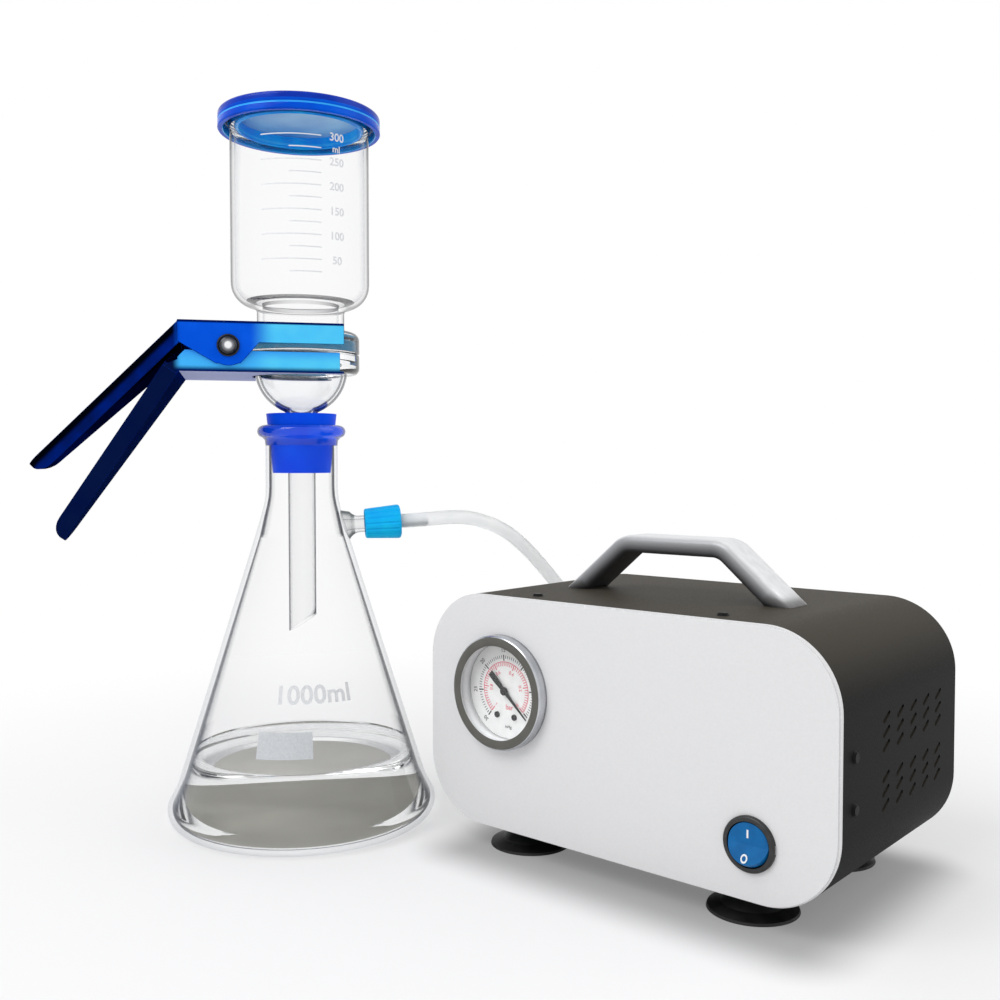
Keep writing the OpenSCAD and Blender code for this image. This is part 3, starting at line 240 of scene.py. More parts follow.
sky = bpy.data.worlds.new("sky")
sky.use_nodes = True
scene.world = sky
skyTree = sky.node_tree
ambient = skyTree.nodes["Background"]
feedAll(skyTree, ambient, {"Color": (1, 1, 1), "Strength": studio["sky"]})
backdrop = step(skyTree, "Background", "Background", {"Color": (1, 1, 1), "Strength": 1.0})
mixShaders(skyTree, seenDirect(skyTree), ambient.outputs[0], backdrop, "World Output")
for name, (place, watts, size) in studio["lamps"].items():
    lampData = bpy.data.lights.new(name, "AREA")
    lampData.energy = watts
    lampData.size = size
    lamp = bpy.data.objects.new(name, lampData)
    lamp.location = place
    lamp.rotation_euler = (Vector(studio["aim"]) - Vector(place)).to_track_quat("-Z", "Y").to_euler()
    scene.collection.objects.link(lamp)

bench = {"radius": 4.0, "middle": (0.13, 0.03, 0), "colour": tone(246, 246, 247), "rough": 0.6, "gloss": 0.1,
         "keepShadow": 0.4, "fadeFrom": 0.26, "fadeTo": 0.6, "under": (190, 80, 0), "underHalf": (85, 58, 1),
         "underReach": 0.036, "paintedShadowTone": 0.5}  # the under values are for the painted shadow, a dim patch below the pump
benchMesh = bpy.data.meshes.new("bench")
disc = bmesh.new()
bmesh.ops.create_circle(disc, cap_ends=True, segments=96, radius=bench["radius"])
disc.to_mesh(benchMesh)
disc.free()
benchTop = bpy.data.objects.new("bench", benchMesh)
benchTop.location = bench["middle"]
scene.collection.objects.link(benchTop)
benchMat, tree, shader, place = freshFinish("paleBench")
away = vectorStep(tree, "LENGTH", place, output="Value")
fade = rampBetween(tree, away, bench["fadeFrom"], bench["fadeTo"], bench["keepShadow"])
share = step(tree, "Math", 0, {0: fade, 1: seenDirect(tree)}, operation="MULTIPLY")
# painted shadow: the bench's colour and glow dim softly where the pump sits close over it
underMiddle = [n * mm - m for n, m in zip(bench["under"], benchTop.location)]
sides = vectorStep(tree, "ABSOLUTE", vectorStep(tree, "SUBTRACT", place, underMiddle))
beyond = vectorStep(tree, "SUBTRACT", sides, [n * mm for n in bench["underHalf"]])
gap = vectorStep(tree, "LENGTH", vectorStep(tree, "MAXIMUM", beyond), output="Value")
clearOfPaintedShadow = rampBetween(tree, gap, 0.0, bench["underReach"])
paintedShadowColour = tuple(c * bench["paintedShadowTone"] for c in bench["colour"])
feedAll(tree, shader, {"Base Color": blendColours(tree, clearOfPaintedShadow, paintedShadowColour, bench["colour"]),
                       "Roughness": bench["rough"], "Specular IOR Level": bench["gloss"]})
glow = step(tree, "Emission", "Emission", {
    "Strength": 1.0, "Color": blendColours(tree, clearOfPaintedShadow, (bench["paintedShadowTone"],) * 3, (1.0, 1.0, 1.0))})
mixShaders(tree, share, shader.outputs["BSDF"], glow, "Material Output")
dress(benchTop, benchMat)
scene.view_settings.view_transform = "Standard"
for kind, count in studio["bounces"].items():
    setattr(scene.cycles, kind + "_bounces", count)
scene.cycles.transparent_max_bounces = studio["clearBounces"]
print("light and bench set")


# clear finishes
def clearLook(light, dark, tint, density, rough, ior, waves, bump, shadow, **extra):
    # display colours for light, dark and the shadow; tint and density inside; waves per metre; bump strength and depth
    return {"light": tone(*light), "dark": tone(*dark), "tint": tint, "density": density, "rough": rough,
            "ior": ior, "waves": waves, "strength": bump[0], "depth": bump[1], "shadow": tone(*shadow), **extra}


def glassLook(rimFrom, rimTo, rim):
    return clearLook((254, 254, 255), (251, 252, 253), tone(150, 165, 172), 2.2, 0.0, 1.47, 14, (0.015, 0.0004),
                     (242, 243, 246), rimFrom=rimFrom, rimTo=rimTo, rim=tone(*rim), rimPale=tone(226, 230, 234))


clearLooks = {
    "flaskGlass": glassLook(0.66, 0.86, (60, 70, 86)), "cupGlass": glassLook(0.62, 0.84, (34, 38, 46)),
    "baseGlass": glassLook(0.62, 0.84, (28, 32, 40)),
    "filtrateWater": clearLook((252, 253, 253), (247, 248, 249), tone(150, 150, 142), 1.2, 0.0, 1.33, 30,
                               (0.02, 0.0006), (246, 247, 248)),
    "lidBlue": clearLook((120, 200, 255), (90, 175, 250), (0.02, 0.28, 0.96), 150.0, 0.08, 1.46, 40, (0.04, 0.0004),
                         (110, 160, 235)),
    "milkySilicone": clearLook((254, 254, 254), (246, 248, 249), tone(225, 230, 232), 6.0, 0.3, 1.36, 120,
                               (0.06, 0.0003), (225, 229, 232), clear=0.8),
    "lensGlass": clearLook((254, 254, 254), (250, 251, 252), tone(235, 240, 242), 3.0, 0.0, 1.45, 30,
                           (0.01, 0.0004), (248, 248, 248)),
}

# solid finishes: light and dark display colour, roughness range, grain and pits per metre, bump strength, bump depth in
# mm, and what else the shader is set to
socketNames = {"gloss": "Specular IOR Level", "metal": "Metallic", "alpha": "Alpha"}


def solidLook(light, dark, rough, grain, pits, strength, depth, stretch=None, **extra):
    return {"light": tone(*light), "dark": tone(*dark), "rough": rough, "grain": grain, "pits": pits,
            "strength": strength, "depth": depth * mm, "stretch": stretch,
            "sockets": {socketNames[key]: value for key, value in extra.items()}}


solidLooks = {
    "blueRubber": solidLook((0, 88, 255), (0, 70, 244), (0.34, 0.46), 60, 900, 0.12, 0.2, gloss=0.06),
    "sinteredGlass": solidLook((242, 243, 244), (214, 218, 222), (0.6, 0.8), 900, 1400, 0.5, 0.3),
    "membranePaper": solidLook((250, 250, 248), (238, 238, 235), (0.7, 0.85), 700, 1500, 0.2, 0.1),
    "brightSteel": solidLook((214, 215, 217), (176, 178, 182), (0.18, 0.34), 80, 900, 0.1, 0.1, metal=1.0),
    "darkSteel": solidLook((88, 89, 92), (58, 59, 62), (0.3, 0.46), 90, 900, 0.15, 0.1, metal=0.9),
    "blackScrew": solidLook((22, 22, 23), (10, 10, 11), (0.35, 0.5), 300, 900, 0.15, 0.1, gloss=0.08),
    "cyanPlastic": solidLook((10, 206, 255), (0, 178, 252), (0.42, 0.55), 70, 1200, 0.15, 0.2, gloss=0.15),
    "sealRubber": solidLook((210, 214, 218), (180, 186, 190), (0.5, 0.6), 200, 900, 0.1, 0.1),
    "whitePlastic": solidLook((240, 242, 243), (224, 228, 230), (0.35, 0.5), 120, 900, 0.1, 0.1),
    "panelCoat": solidLook((227, 227, 228), (224, 224, 225), (0.4, 0.5), 900, 1600, 0.12, 0.1, gloss=0.3),
    "brushedAluminium": solidLook((214, 214, 215), (180, 181, 184), (0.3, 0.44), 260, 700, 0.2, 0.1, (0.08, 1, 1),
                                  metal=0.75),
    "blackRubber": solidLook((24, 24, 25), (10, 10, 11), (0.45, 0.6), 140, 800, 0.2, 0.2, gloss=0.35),
    "bezelMetal": solidLook((100, 99, 94), (95, 94, 89), (0.4, 0.5), 120, 900, 0.05, 0.1, gloss=0.12),
    "bezelChrome": solidLook((206, 208, 212), (168, 170, 175), (0.12, 0.2), 60, 900, 0.05, 0.1, metal=0.9),
    "bezelWall": solidLook((246, 247, 248), (232, 234, 236), (0.4, 0.5), 60, 900, 0.05, 0.1),
    # paler than the panel coat: a painted highlight on the panel's eased edge
    "panelEdge": solidLook((250, 250, 251), (236, 237, 239), (0.2, 0.3), 200, 900, 0.05, 0.1, metal=0.5),
    "dialWhite": solidLook((244, 244, 243), (236, 236, 235), (0.5, 0.6), 200, 900, 0.05, 0.1),
    "pointerBlack": solidLook((12, 12, 12), (4, 4, 4), (0.4, 0.5), 400, 900, 0.05, 0.1, gloss=0.05),
    "switchBlack": solidLook((40, 40, 41), (24, 24, 25), (0.35, 0.48), 300, 1200, 0.12, 0.1),
    "rockerBlue": solidLook((0, 104, 168), (0, 90, 150), (0.28, 0.38), 200, 1200, 0.08, 0.1, gloss=0.2),
    "brassBlade": solidLook((214, 180, 110), (176, 142, 84), (0.28, 0.4), 200, 900, 0.1, 0.1, metal=1.0),
    "sinteredBronze": solidLook((196, 164, 110), (140, 112, 72), (0.55, 0.7), 900, 1100, 0.7, 0.4, metal=0.6),
    "castAluminium": solidLook((176, 178, 181), (140, 142, 146), (0.45, 0.6), 400, 600, 0.4, 0.3, metal=0.8),
    "motorEnamel": solidLook((92, 96, 100), (66, 70, 74), (0.4, 0.52), 200, 700, 0.25, 0.2),
    "diaphragmRubber": solidLook((70, 66, 62), (48, 45, 42), (0.55, 0.7), 300, 900, 0.2, 0.2),
    "tubeRubber": solidLook((226, 228, 226), (204, 208, 206), (0.4, 0.5), 160, 700, 0.1, 0.2),
    "printWhite": solidLook((246, 247, 248), (226, 229, 232), (0.55, 0.65), 900, 1200, 0.1, 0.05),
    "printGrey": solidLook((234, 236, 239), (218, 221, 226), (0.55, 0.65), 900, 1200, 0.1, 0.05),
    "printBlack": solidLook((34, 34, 36), (18, 18, 20), (0.5, 0.6), 900, 1200, 0.1, 0.05),
    "printRed": solidLook((236, 92, 116), (216, 66, 92), (0.5, 0.6), 900, 1200, 0.1, 0.05),
    # the lid's bands: the paler underside and bright plug ring are painted light through the plastic, the dark edge is
    # painted shade, the pale lines are painted highlights
    "lidSkirt": solidLook((0, 92, 224), (0, 66, 196), (0.14, 0.22), 50, 900, 0.05, 0.1, gloss=0.05),
    "lidUnder": solidLook((150, 200, 236), (70, 140, 210), (0.3, 0.4), 24, 900, 0.05, 0.1, gloss=0.3),
    "lidRing": solidLook((0, 176, 255), (0, 128, 244), (0.15, 0.25), 60, 900, 0.05, 0.1, gloss=0.3),
    "lidEdge": solidLook((0, 60, 190), (0, 42, 160), (0.15, 0.25), 60, 900, 0.05, 0.1, gloss=0.12),
    "lidLine": solidLook((60, 190, 255), (20, 160, 250), (0.15, 0.25), 60, 900, 0.05, 0.1, gloss=0.3),
    "darkRivet": solidLook((40, 42, 46), (16, 17, 20), (0.25, 0.4), 300, 900, 0.1, 0.1, metal=0.5),
    "printFaint": solidLook((236, 238, 240), (224, 227, 230), (0.55, 0.65), 900, 1200, 0.1, 0.05, alpha=0.75),
    "frostedPatch": solidLook((206, 209, 212), (190, 194, 198), (0.7, 0.85), 1100, 1500, 0.3, 0.1),
    # painted shade: the grey disc under the filtrate
    "baseGrey": solidLook((150, 148, 140), (124, 122, 114), (0.5, 0.7), 22, 60, 0.2, 1.0),
    # painted shade: navy on the levers' eased edges
    "leverEdge": solidLook((8, 44, 140), (2, 28, 110), (0.2, 0.3), 90, 800, 0.05, 0.05, gloss=0.0),
}


# blown glass walls: dark and pale display colour of the painted shade line, how much of the wall covers what is behind
# it as it turns away, shine
def thinLook(dark, light, cover, shine=0.3):
    return {"dark": tone(*dark), "light": tone(*light), "cover": cover, "shine": shine}


thinLooks = {
    "flaskOuter": thinLook((176, 184, 194), (200, 206, 214), [(0.0, 0.02), (1.0, 0.75), (0.5, 0.03), (0.72, 0.16),
                                                              (0.93, 0.4)]),
    "flaskInner": thinLook((14, 24, 46), (30, 40, 62), [(0.0, 0.01), (1.0, 0.97), (0.6, 0.04), (0.71, 0.22),
                                                        (0.79, 0.75), (0.86, 0.95)], 0.05),
    "flaskLow": thinLook((10, 20, 46), (24, 36, 62), [(0.0, 0.01), (1.0, 0.97), (0.56, 0.04), (0.67, 0.22),
                                                      (0.76, 0.8), (0.83, 0.95)], 0.05),
    # armRoot: a darker painted shade line where the arm meets the cone
    "armRoot": thinLook((34, 52, 58), (70, 92, 96), [(0.0, 0.1), (1.0, 0.95), (0.3, 0.3), (0.6, 0.85)]),
    "armTube": thinLook((150, 156, 164), (186, 190, 196), [(0.0, 0.06), (1.0, 0.9), (0.4, 0.12), (0.75, 0.6)]),
    "neckInner": thinLook((14, 24, 46), (30, 40, 62), [(0.0, 0.01), (1.0, 0.97), (0.4, 0.02), (0.56, 0.15),
                                                       (0.7, 0.85)], 0.05),
    "seatClear": thinLook((200, 206, 214), (214, 218, 224), [(0.0, 0.0), (1.0, 0.02)], 0.0),
    # darkRing: painted shade, a dark ring laid where the cup's floor meets its throat
    "darkRing": thinLook((24, 28, 36), (40, 44, 52), [(0.0, 0.2), (1.0, 0.95), (0.5, 0.62), (0.8, 0.92)], 0.1),
    "cupOuter": thinLook((30, 34, 46), (52, 56, 68), [(0.0, 0.015), (1.0, 0.94), (0.6, 0.03), (0.74, 0.2),
                                                      (0.84, 0.8)]),
    "cupInner": thinLook((190, 194, 202), (214, 217, 222), [(0.0, 0.01), (1.0, 0.5), (0.6, 0.02), (0.85, 0.3)]),
    "stemOuter": thinLook((34, 42, 56), (56, 64, 78), [(0.0, 0.03), (1.0, 0.95), (0.35, 0.04), (0.55, 0.3),
                                                       (0.68, 0.85)]),
    "stemInner": thinLook((200, 204, 210), (220, 223, 228), [(0.0, 0.02), (1.0, 0.35), (0.6, 0.05)]),
}
finishes = {name: makeFinish(name, look) for name, look in solidLooks.items()}
finishes.update({name: makeGlass(name, look) for name, look in clearLooks.items()})
finishes.update({name: makeThinGlass(name, look) for name, look in thinLooks.items()})

# case coat: paler and warmer where it faces up, near black down the sides; painted light on the top and painted shade
# down the sides
coat = {"top": tone(68, 64, 57), "topDark": tone(61, 57, 50), "side": tone(27, 27, 27), "sideDark": tone(18, 18, 18),
        "gloss": 0.06, "grain": 1500, "rough": (0.5, 0.64), "bump": (0.3, 0.0002), "upward": (0.05, 0.9)}
finishes["caseCoat"], tree, shader, place = freshFinish("caseCoat")
cloud = speckle(tree, place, coat["grain"], 2.0)
paint = blendColours(tree, facingShare(tree, (0, 0, 1), *coat["upward"]),
                     twoTone(tree, cloud, coat["sideDark"], coat["side"]),
                     twoTone(tree, cloud, coat["topDark"], coat["top"]))
feedAll(tree, shader, {"Base Color": paint, "Roughness": spread(tree, cloud, *coat["rough"]),
                       "Specular IOR Level": coat["gloss"]})
roughen(tree, shader, cloud, *coat["bump"])

nodesByFinish = {
    "flaskGlass": "flask", "filtrateWater": "filtrate", "blueRubber": "stopper", "baseGlass": "filter_base",
    "sinteredGlass": "frit_disc", "membranePaper": "filter_membrane", "cupGlass": "funnel_cup", "lidBlue": "cup_lid",
    "lidSkirt": "clamp_lower_lever clamp_upper_lever", "cyanPlastic": "side_arm_cap", "sealRubber": "barb_seal",
    "brightSteel": "clamp_pin clamp_spring foot_studs foot_nuts gauge_bracket inlet_pins motor_shaft crank_bearing"
                   " clamp_disc",
    "whitePlastic": "hose_barb vacuum_port", "milkySilicone": "hose", "caseCoat": "case_shell rear_panel",
    "panelCoat": "front_panel", "blackScrew": "case_screws rear_screws dial_screws head_screws",
    "brushedAluminium": "handle", "darkSteel": "handle_screws gauge_case motor_rotor eccentric motor_cradle",
    "blackRubber": "foot_front_left foot_front_right foot_rear_left foot_rear_right rubber_mounts",
    "bezelMetal": "gauge_bezel", "lensGlass": "gauge_lens", "dialWhite": "gauge_dial", "pointerBlack": "gauge_pointer",
    "brassBlade": "gauge_movement switch_terminals", "switchBlack": "switch_housing power_inlet",
    "rockerBlue": "switch_rocker", "sinteredBronze": "exhaust_silencer", "motorEnamel": "motor_body",
    "castAluminium": "connecting_rod crank_housing valve_plate pump_head", "diaphragmRubber": "diaphragm",
    "tubeRubber": "suction_tube exhaust_tube",
}
for finish, names in nodesByFinish.items():
    for name in names.split():
        dress(nodes[name], finishes[finish])
print("finishes made:", len(finishes))

# hose: leaves the barb, arcs over and drops behind the pump into its port
hose = {"line": [(33.4, 41.5, 159.6), (38.4, 47.7, 160), (43.5, 54, 160.6), (48.3, 60.3, 161.2), (52.8, 67.3, 161.3),
                 (56.3, 74.7, 160.3), (59.3, 82.7, 158), (61.8, 91, 154.6), (63.4, 99.5, 150), (64, 108, 144.5),
                 (63.6, 117, 138.5), (63, 126, 132), (62, 135, 125.5), (61.5, 144, 118.5), (62, 153, 111.5),
                 (64, 161, 104.5), (68, 168, 98), (74, 173, 91.5), (80.5, 175.5, 85), (86, 176, 77.5),
                 (89.2, 176, 69), (90, 176, 60), (90, 176, 52)],  # millimetres
        "diameter": 0.0076, "length": 0.2111}  # metres
hoseCurve = bpy.data.curves.new("hoseLine", "CURVE")
for setting, value in (("dimensions", "3D"), ("bevel_depth", hose["diameter"] / 2), ("bevel_resolution", 8),
                       ("resolution_u", 8), ("use_fill_caps", True)):
    setattr(hoseCurve, setting, value)
hoseSpline = hoseCurve.splines.new("BEZIER")
hoseSpline.bezier_points.add(len(hose["line"]) - 1)
for knot, point in zip(hoseSpline.bezier_points, hose["line"]):
    knot.co = Vector(point) * mm
    knot.handle_left_type = knot.handle_right_type = "AUTO"
hoseLine = bpy.data.objects.new("hoseLine", hoseCurve)
scene.collection.objects.link(hoseLine)
dress(hoseLine, finishes["milkySilicone"])
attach(hoseLine, "root")
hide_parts("hose")
print("hose laid")


# what the dressed pieces are made with
def settle(name, shape, finish, body, node=None):
    # a finished bmesh becomes a piece that rides on a body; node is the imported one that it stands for
    data = bpy.data.meshes.new(name)
    shape.to_mesh(data)
    shape.free()
    piece = bpy.data.objects.new(name, data)
    scene.collection.objects.link(piece)
    for key in finish.split():
        data.materials.append(finishes[key])
    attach(piece, body)
    if node:
        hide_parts(node)
    return piece


def crease(shape, degrees):
    # edges sharper than this stay crisp in the smooth shading
    for edge in shape.edges:
        if len(edge.link_faces) == 2 and edge.calc_face_angle() > math.radians(degrees):
            edge.smooth = False


def lathe(name, outline, finish, node, turns=160, looped=True):
    # body of revolution about the flask's axis; each outline row is radius, height, finish of the band that follows
    shape = bmesh.new()
    rings = []
    for radius, height, _ in outline:
        count = turns if radius > 1e-6 else 1
        rings.append([shape.verts.new((radius * mm * math.cos(2 * math.pi * k / turns),
                                       radius * mm * math.sin(2 * math.pi * k / turns), height * mm))
                      for k in range(count)])
    pairs = list(zip(rings, rings[1:] + rings[:1]))
    if not looped:
        pairs.pop()
    for (lower, upper), (_, _, band) in zip(pairs, outline):
        for k in range(turns):
            corners = [lower[k % len(lower)], lower[(k + 1) % len(lower)], upper[(k + 1) % len(upper)],
                       upper[k % len(upper)]]
            corners = list(dict.fromkeys(corners))
            if len(corners) > 2:
                face = shape.faces.new(corners)
                face.material_index = band
                face.smooth = True
    bmesh.ops.recalc_face_normals(shape, faces=shape.faces)
    crease(shape, 40)
    return settle(name, shape, finish, "root", node)


def arc(x, y, radius, start, stop, steps, band):
    # outline rows along an arc, angles in degrees
    angles = [math.radians(start + (stop - start) * k / steps) for k in range(steps + 1)]
    return [(x + radius * math.cos(a), y + radius * math.sin(a), band) for a in angles]


def banded(band, *rows):
    # outline rows that share one finish
    return [(radius, height, band) for radius, height in rows]


flask = {"base": 71, "corner": 9, "wall": 2.4, "low": (68, 14), "slope": 0.312, "neck": 19.1, "rim": 23.4,
         "rimZ": 211.5, "bead": 6.8, "floor": 3.5, "bore": 17.3, "fill": 38.6, "paintedShadeBelow": 52}  # low: radius, height
cornerR = flask["base"] - flask["corner"]  # radius at which the rounded foot's arc is centred


def coneRadius(z):
    return flask["low"][0] - (z - flask["low"][1]) * flask["slope"]


def innerRadius(z, gap=0.0):
    return flask["low"][0] - flask["wall"] * 1.05 - gap - (z - flask["low"][1]) * flask["slope"]


def flaskOutline(neck, bore, floor):
    # outside from the middle of the base up to the rim, then back down inside
    topZ = flask["low"][1] + (flask["low"][0] - neck) / flask["slope"]
    mouthZ = flask["rimZ"] - flask["bead"]
    beadR = flask["bead"] / 2
    rows = banded(0, (0, 1.6), (30, 1.4), (48, 0.6), (56, 0))
    rows += arc(cornerR, flask["corner"], flask["corner"], -88, 17, 12, 0)
    rows += banded(0, *[(coneRadius(z), z) for z in range(20, int(topZ) - 14, 8)])
    rows += banded(0, (neck + 4.2, topZ - 13.2), (neck + 2.6, topZ - 7.8), (neck + 1.4, topZ - 3.4),
                   (neck + 0.6, topZ + 0.4), (neck + 0.15, topZ + 4), (neck, topZ + 8))
    rows += banded(2, (neck, mouthZ - 4), (neck + 0.4, mouthZ - 1.2))
    rows += arc(flask["rim"] - beadR, flask["rimZ"] - beadR, beadR, -75, 84, 12, 2)
    rows += banded(4, (bore + 1.75, flask["rimZ"]), (bore + 0.75, flask["rimZ"] - 0.9))
    rows += banded(3, (bore, mouthZ), (bore, topZ + 8), (bore + 0.3, topZ + 3), (bore + 1.1, topZ - 1.5),
                   (bore + 2.7, topZ - 8))
    # lower down, the inside wall takes flaskLow, whose painted shade line is darker
    rows += [(innerRadius(z), z, 1 if z > flask["paintedShadeBelow"] else 5) for z in range(int(topZ) - 18, 19, -8)]
    rows += arc(cornerR, flask["corner"] + 0.6, flask["corner"] - flask["wall"], 17, -88, 10, 5)
    return rows + banded(1, (50, floor + 0.1), (25, floor + 1.2), (0, floor + 1.6))


lathe("flaskBody", flaskOutline(flask["neck"], flask["bore"], flask["floor"]),
      "flaskOuter flaskInner flaskGlass neckInner seatClear flaskLow", "flask", looped=False)

# filtrate: a meniscus climbs the wall, and the base under it reads as a grey disc, painted shade for the dark band seen
# through the flask's thick floor
fluid = {"gap": 0.12, "climb": 1.2, "disc": 49.5}


def filtrateOutline(floor, top, gap, climb):
    edgeR = innerRadius(top, gap)
    rows = banded(1, (0, floor + 1.75), (25, floor + 1.35)) + banded(0, (fluid["disc"], floor + 0.4), (57, floor + 0.3))
    rows += arc(cornerR, flask["corner"] + 0.6, flask["corner"] - flask["wall"] - gap, -70, 17, 8, 0)
    rows += banded(0, *[(innerRadius(z, gap), z) for z in (19, 25, 31, top)])
    return rows + banded(0, (edgeR - 0.5, top - 0.7 * climb), (edgeR - 1.6, top - climb),
                         (edgeR - 4, top - climb - 0.3), (0, top - climb - 0.3))


lathe("waterBody", filtrateOutline(flask["floor"], flask["fill"], fluid["gap"], fluid["climb"]),
      "filtrateWater baseGrey", "filtrate", looped=False)
print("flask and filtrate turned")

# side arm: fused to the cone with a flared root
arm = {"height": 156.3, "turn": 51, "tilt": 3.5, "radius": 4.5, "bore": 2.9, "start": 40, "end": 48, "flare": 3.6,
       "flareL": 6.5, "flareFrom": 1.2, "flareCurve": 1.4, "sink": 0.15, "innermost": 5}
turnA, tiltA = math.radians(arm["turn"]), math.radians(arm["tilt"])
armAxis = Vector((math.cos(turnA) * math.cos(tiltA), math.sin(turnA) * math.cos(tiltA), math.sin(tiltA)))
armSide = Vector((-math.sin(turnA), math.cos(turnA), 0))
armUp = armAxis.cross(armSide)
armRoot = Vector((0, 0, arm["height"]))


def armRing(shape, reach, radius, turns=48, seated=False):
    # ring about the arm's axis; a seated one lies on the cone's outside, and radius may change with the angle
    ring = []
    for k in range(turns):
        a = 2 * math.pi * k / turns
        off = (armSide * math.cos(a) + armUp * math.sin(a)) * (radius(a) if callable(radius) else radius)
        out = reach
        point = armRoot + off + armAxis * out
        while seated and math.hypot(point.x, point.y) > coneRadius(point.z) - arm["sink"] and out > arm["innermost"]:
            out -= 0.1
            point = armRoot + off + armAxis * out
        ring.append(shape.verts.new(point * mm))
    return ring


def joinRings(shape, rings, bands=None, looped=False):
    # faces between one ring and the next, each step with the finish that bands gives it
    pairs = list(zip(rings, rings[1:]))
    if looped:
        pairs.append((rings[-1], rings[0]))
    for (first, second), band in zip(pairs, bands or [0] * len(pairs)):
        for k in range(len(first)):
            n = (k + 1) % len(first)
            face = shape.faces.new((first[k], first[n], second[n], second[k]))
            face.smooth = True
            face.material_index = band
    bmesh.ops.recalc_face_normals(shape, faces=shape.faces)


def stitch(shape, rows, looped=False):
    # a bar of four-cornered sections, closed on itself or capped at its ends
    for first, second in zip(rows, rows[1:] + (rows[:1] if looped else [])):
        for k in range(4):
            n = (k + 1) % 4
            shape.faces.new((first[k], first[n], second[n], second[k]))
    if not looped:
        shape.faces.new(rows[0])
        shape.faces.new(rows[-1][::-1])


wallD = coneRadius(arm["height"])
armShape = bmesh.new()
armRings = [armRing(armShape, arm["start"], arm["radius"] + arm["flare"], seated=True)]
for k in range(1, 9):
    grow = arm["flare"] * (1 - math.sin(k / 8 * math.pi / 2)) ** arm["flareCurve"]
    armRings.append(armRing(armShape, wallD + arm["flareFrom"] + arm["flareL"] * k / 8, arm["radius"] + grow))
for reach, radius in ((arm["end"] - 0.6, arm["radius"]), (arm["end"], arm["bore"] + 0.8), (arm["end"], arm["bore"]),
                      (wallD + 3, arm["bore"])):
    armRings.append(armRing(armShape, reach, radius))
armRings.append(armRing(armShape, arm["start"], arm["bore"] + 0.4, seated=True))
joinRings(armShape, armRings, [0] * 4 + [1] * 20)
settle("flaskArm", armShape, "armRoot armTube", "root")

# filter base: thick ground flange, blown bulb, drawn stem with an oblique tip
base = {"joint": 249, "flange": 31, "flangeT": 10.5, "bulb": 24.6, "bulbWall": 1.8, "stem": 7.25, "stemWall": 1.6,
        "tip": 101, "cut": 31, "frit": 20, "fritT": 3.2, "ledge": 2.2, "cutBelow": 0.115}


def filterBaseOutline(joint, stem, bulb, frit):
    low = joint - base["flangeT"]
    bulbZ = low + 3
    dome = bulb - base["bulbWall"]
    bore = stem - base["stemWall"]
    outTurn, inTurn = math.acos(stem / bulb), math.acos(bore / dome)
    fritLow = joint - base["fritT"]
    ledgeZ = fritLow - base["ledge"]
    rows = banded(0, (stem, base["tip"]), *[(stem, z) for z in range(106, 216, 8)])
    rows += [(stem, bulbZ - bulb * math.sin(outTurn) - 1.5, 2)]
    rows += arc(0, bulbZ, bulb, 4 - math.degrees(outTurn), -8, 20, 2)
    rows += [(bulb + 0.2, low, 2)]
    rows += arc(base["flange"] - 3.5, low + 3.5, 3.5, -90, 0, 8, 2)
    rows += arc(base["flange"] - 1, joint - 1, 1, 0, 90, 4, 2)
    rows += banded(2, (frit + 0.05, joint), (frit + 0.05, fritLow), (frit - 2, fritLow), (frit - 2, ledgeZ + 0.8),
                   (dome - 0.4, ledgeZ))
    rows += arc(0, bulbZ, dome, 0, 4 - math.degrees(inTurn), 20, 2)
    rows += [(bore, bulbZ - dome * math.sin(inTurn) - 1.5, 1)]
    return rows + banded(1, *[(bore, z) for z in range(210, 100, -8)], (bore, base["tip"]))


baseBody = lathe("filterBaseBody", filterBaseOutline(base["joint"], base["stem"], base["bulb"], base["frit"]),
                 "stemOuter stemInner baseGlass", "filter_base", turns=128)
for vert in baseBody.data.vertices:
    # the stem's end is ground on the slope, low on the side away from the arm
    across = (vert.co.x * math.cos(turnA) + vert.co.y * math.sin(turnA)) / mm
    lowest = (base["tip"] + (across + base["stem"]) * math.tan(math.radians(base["cut"]))) * mm
    if vert.co.z < base["cutBelow"] and vert.co.z < lowest:
        vert.co.z = lowest

# funnel cup
cup = {"joint": 249.2, "flange": 31, "flangeT": 11.6, "neck": 23, "throat": 20, "radius": 36.4, "wall": 2.3,
       "top": 373.2, "bowlUp": 12.7, "corner": 13, "floorT": 2.6, "rim": 39.4}


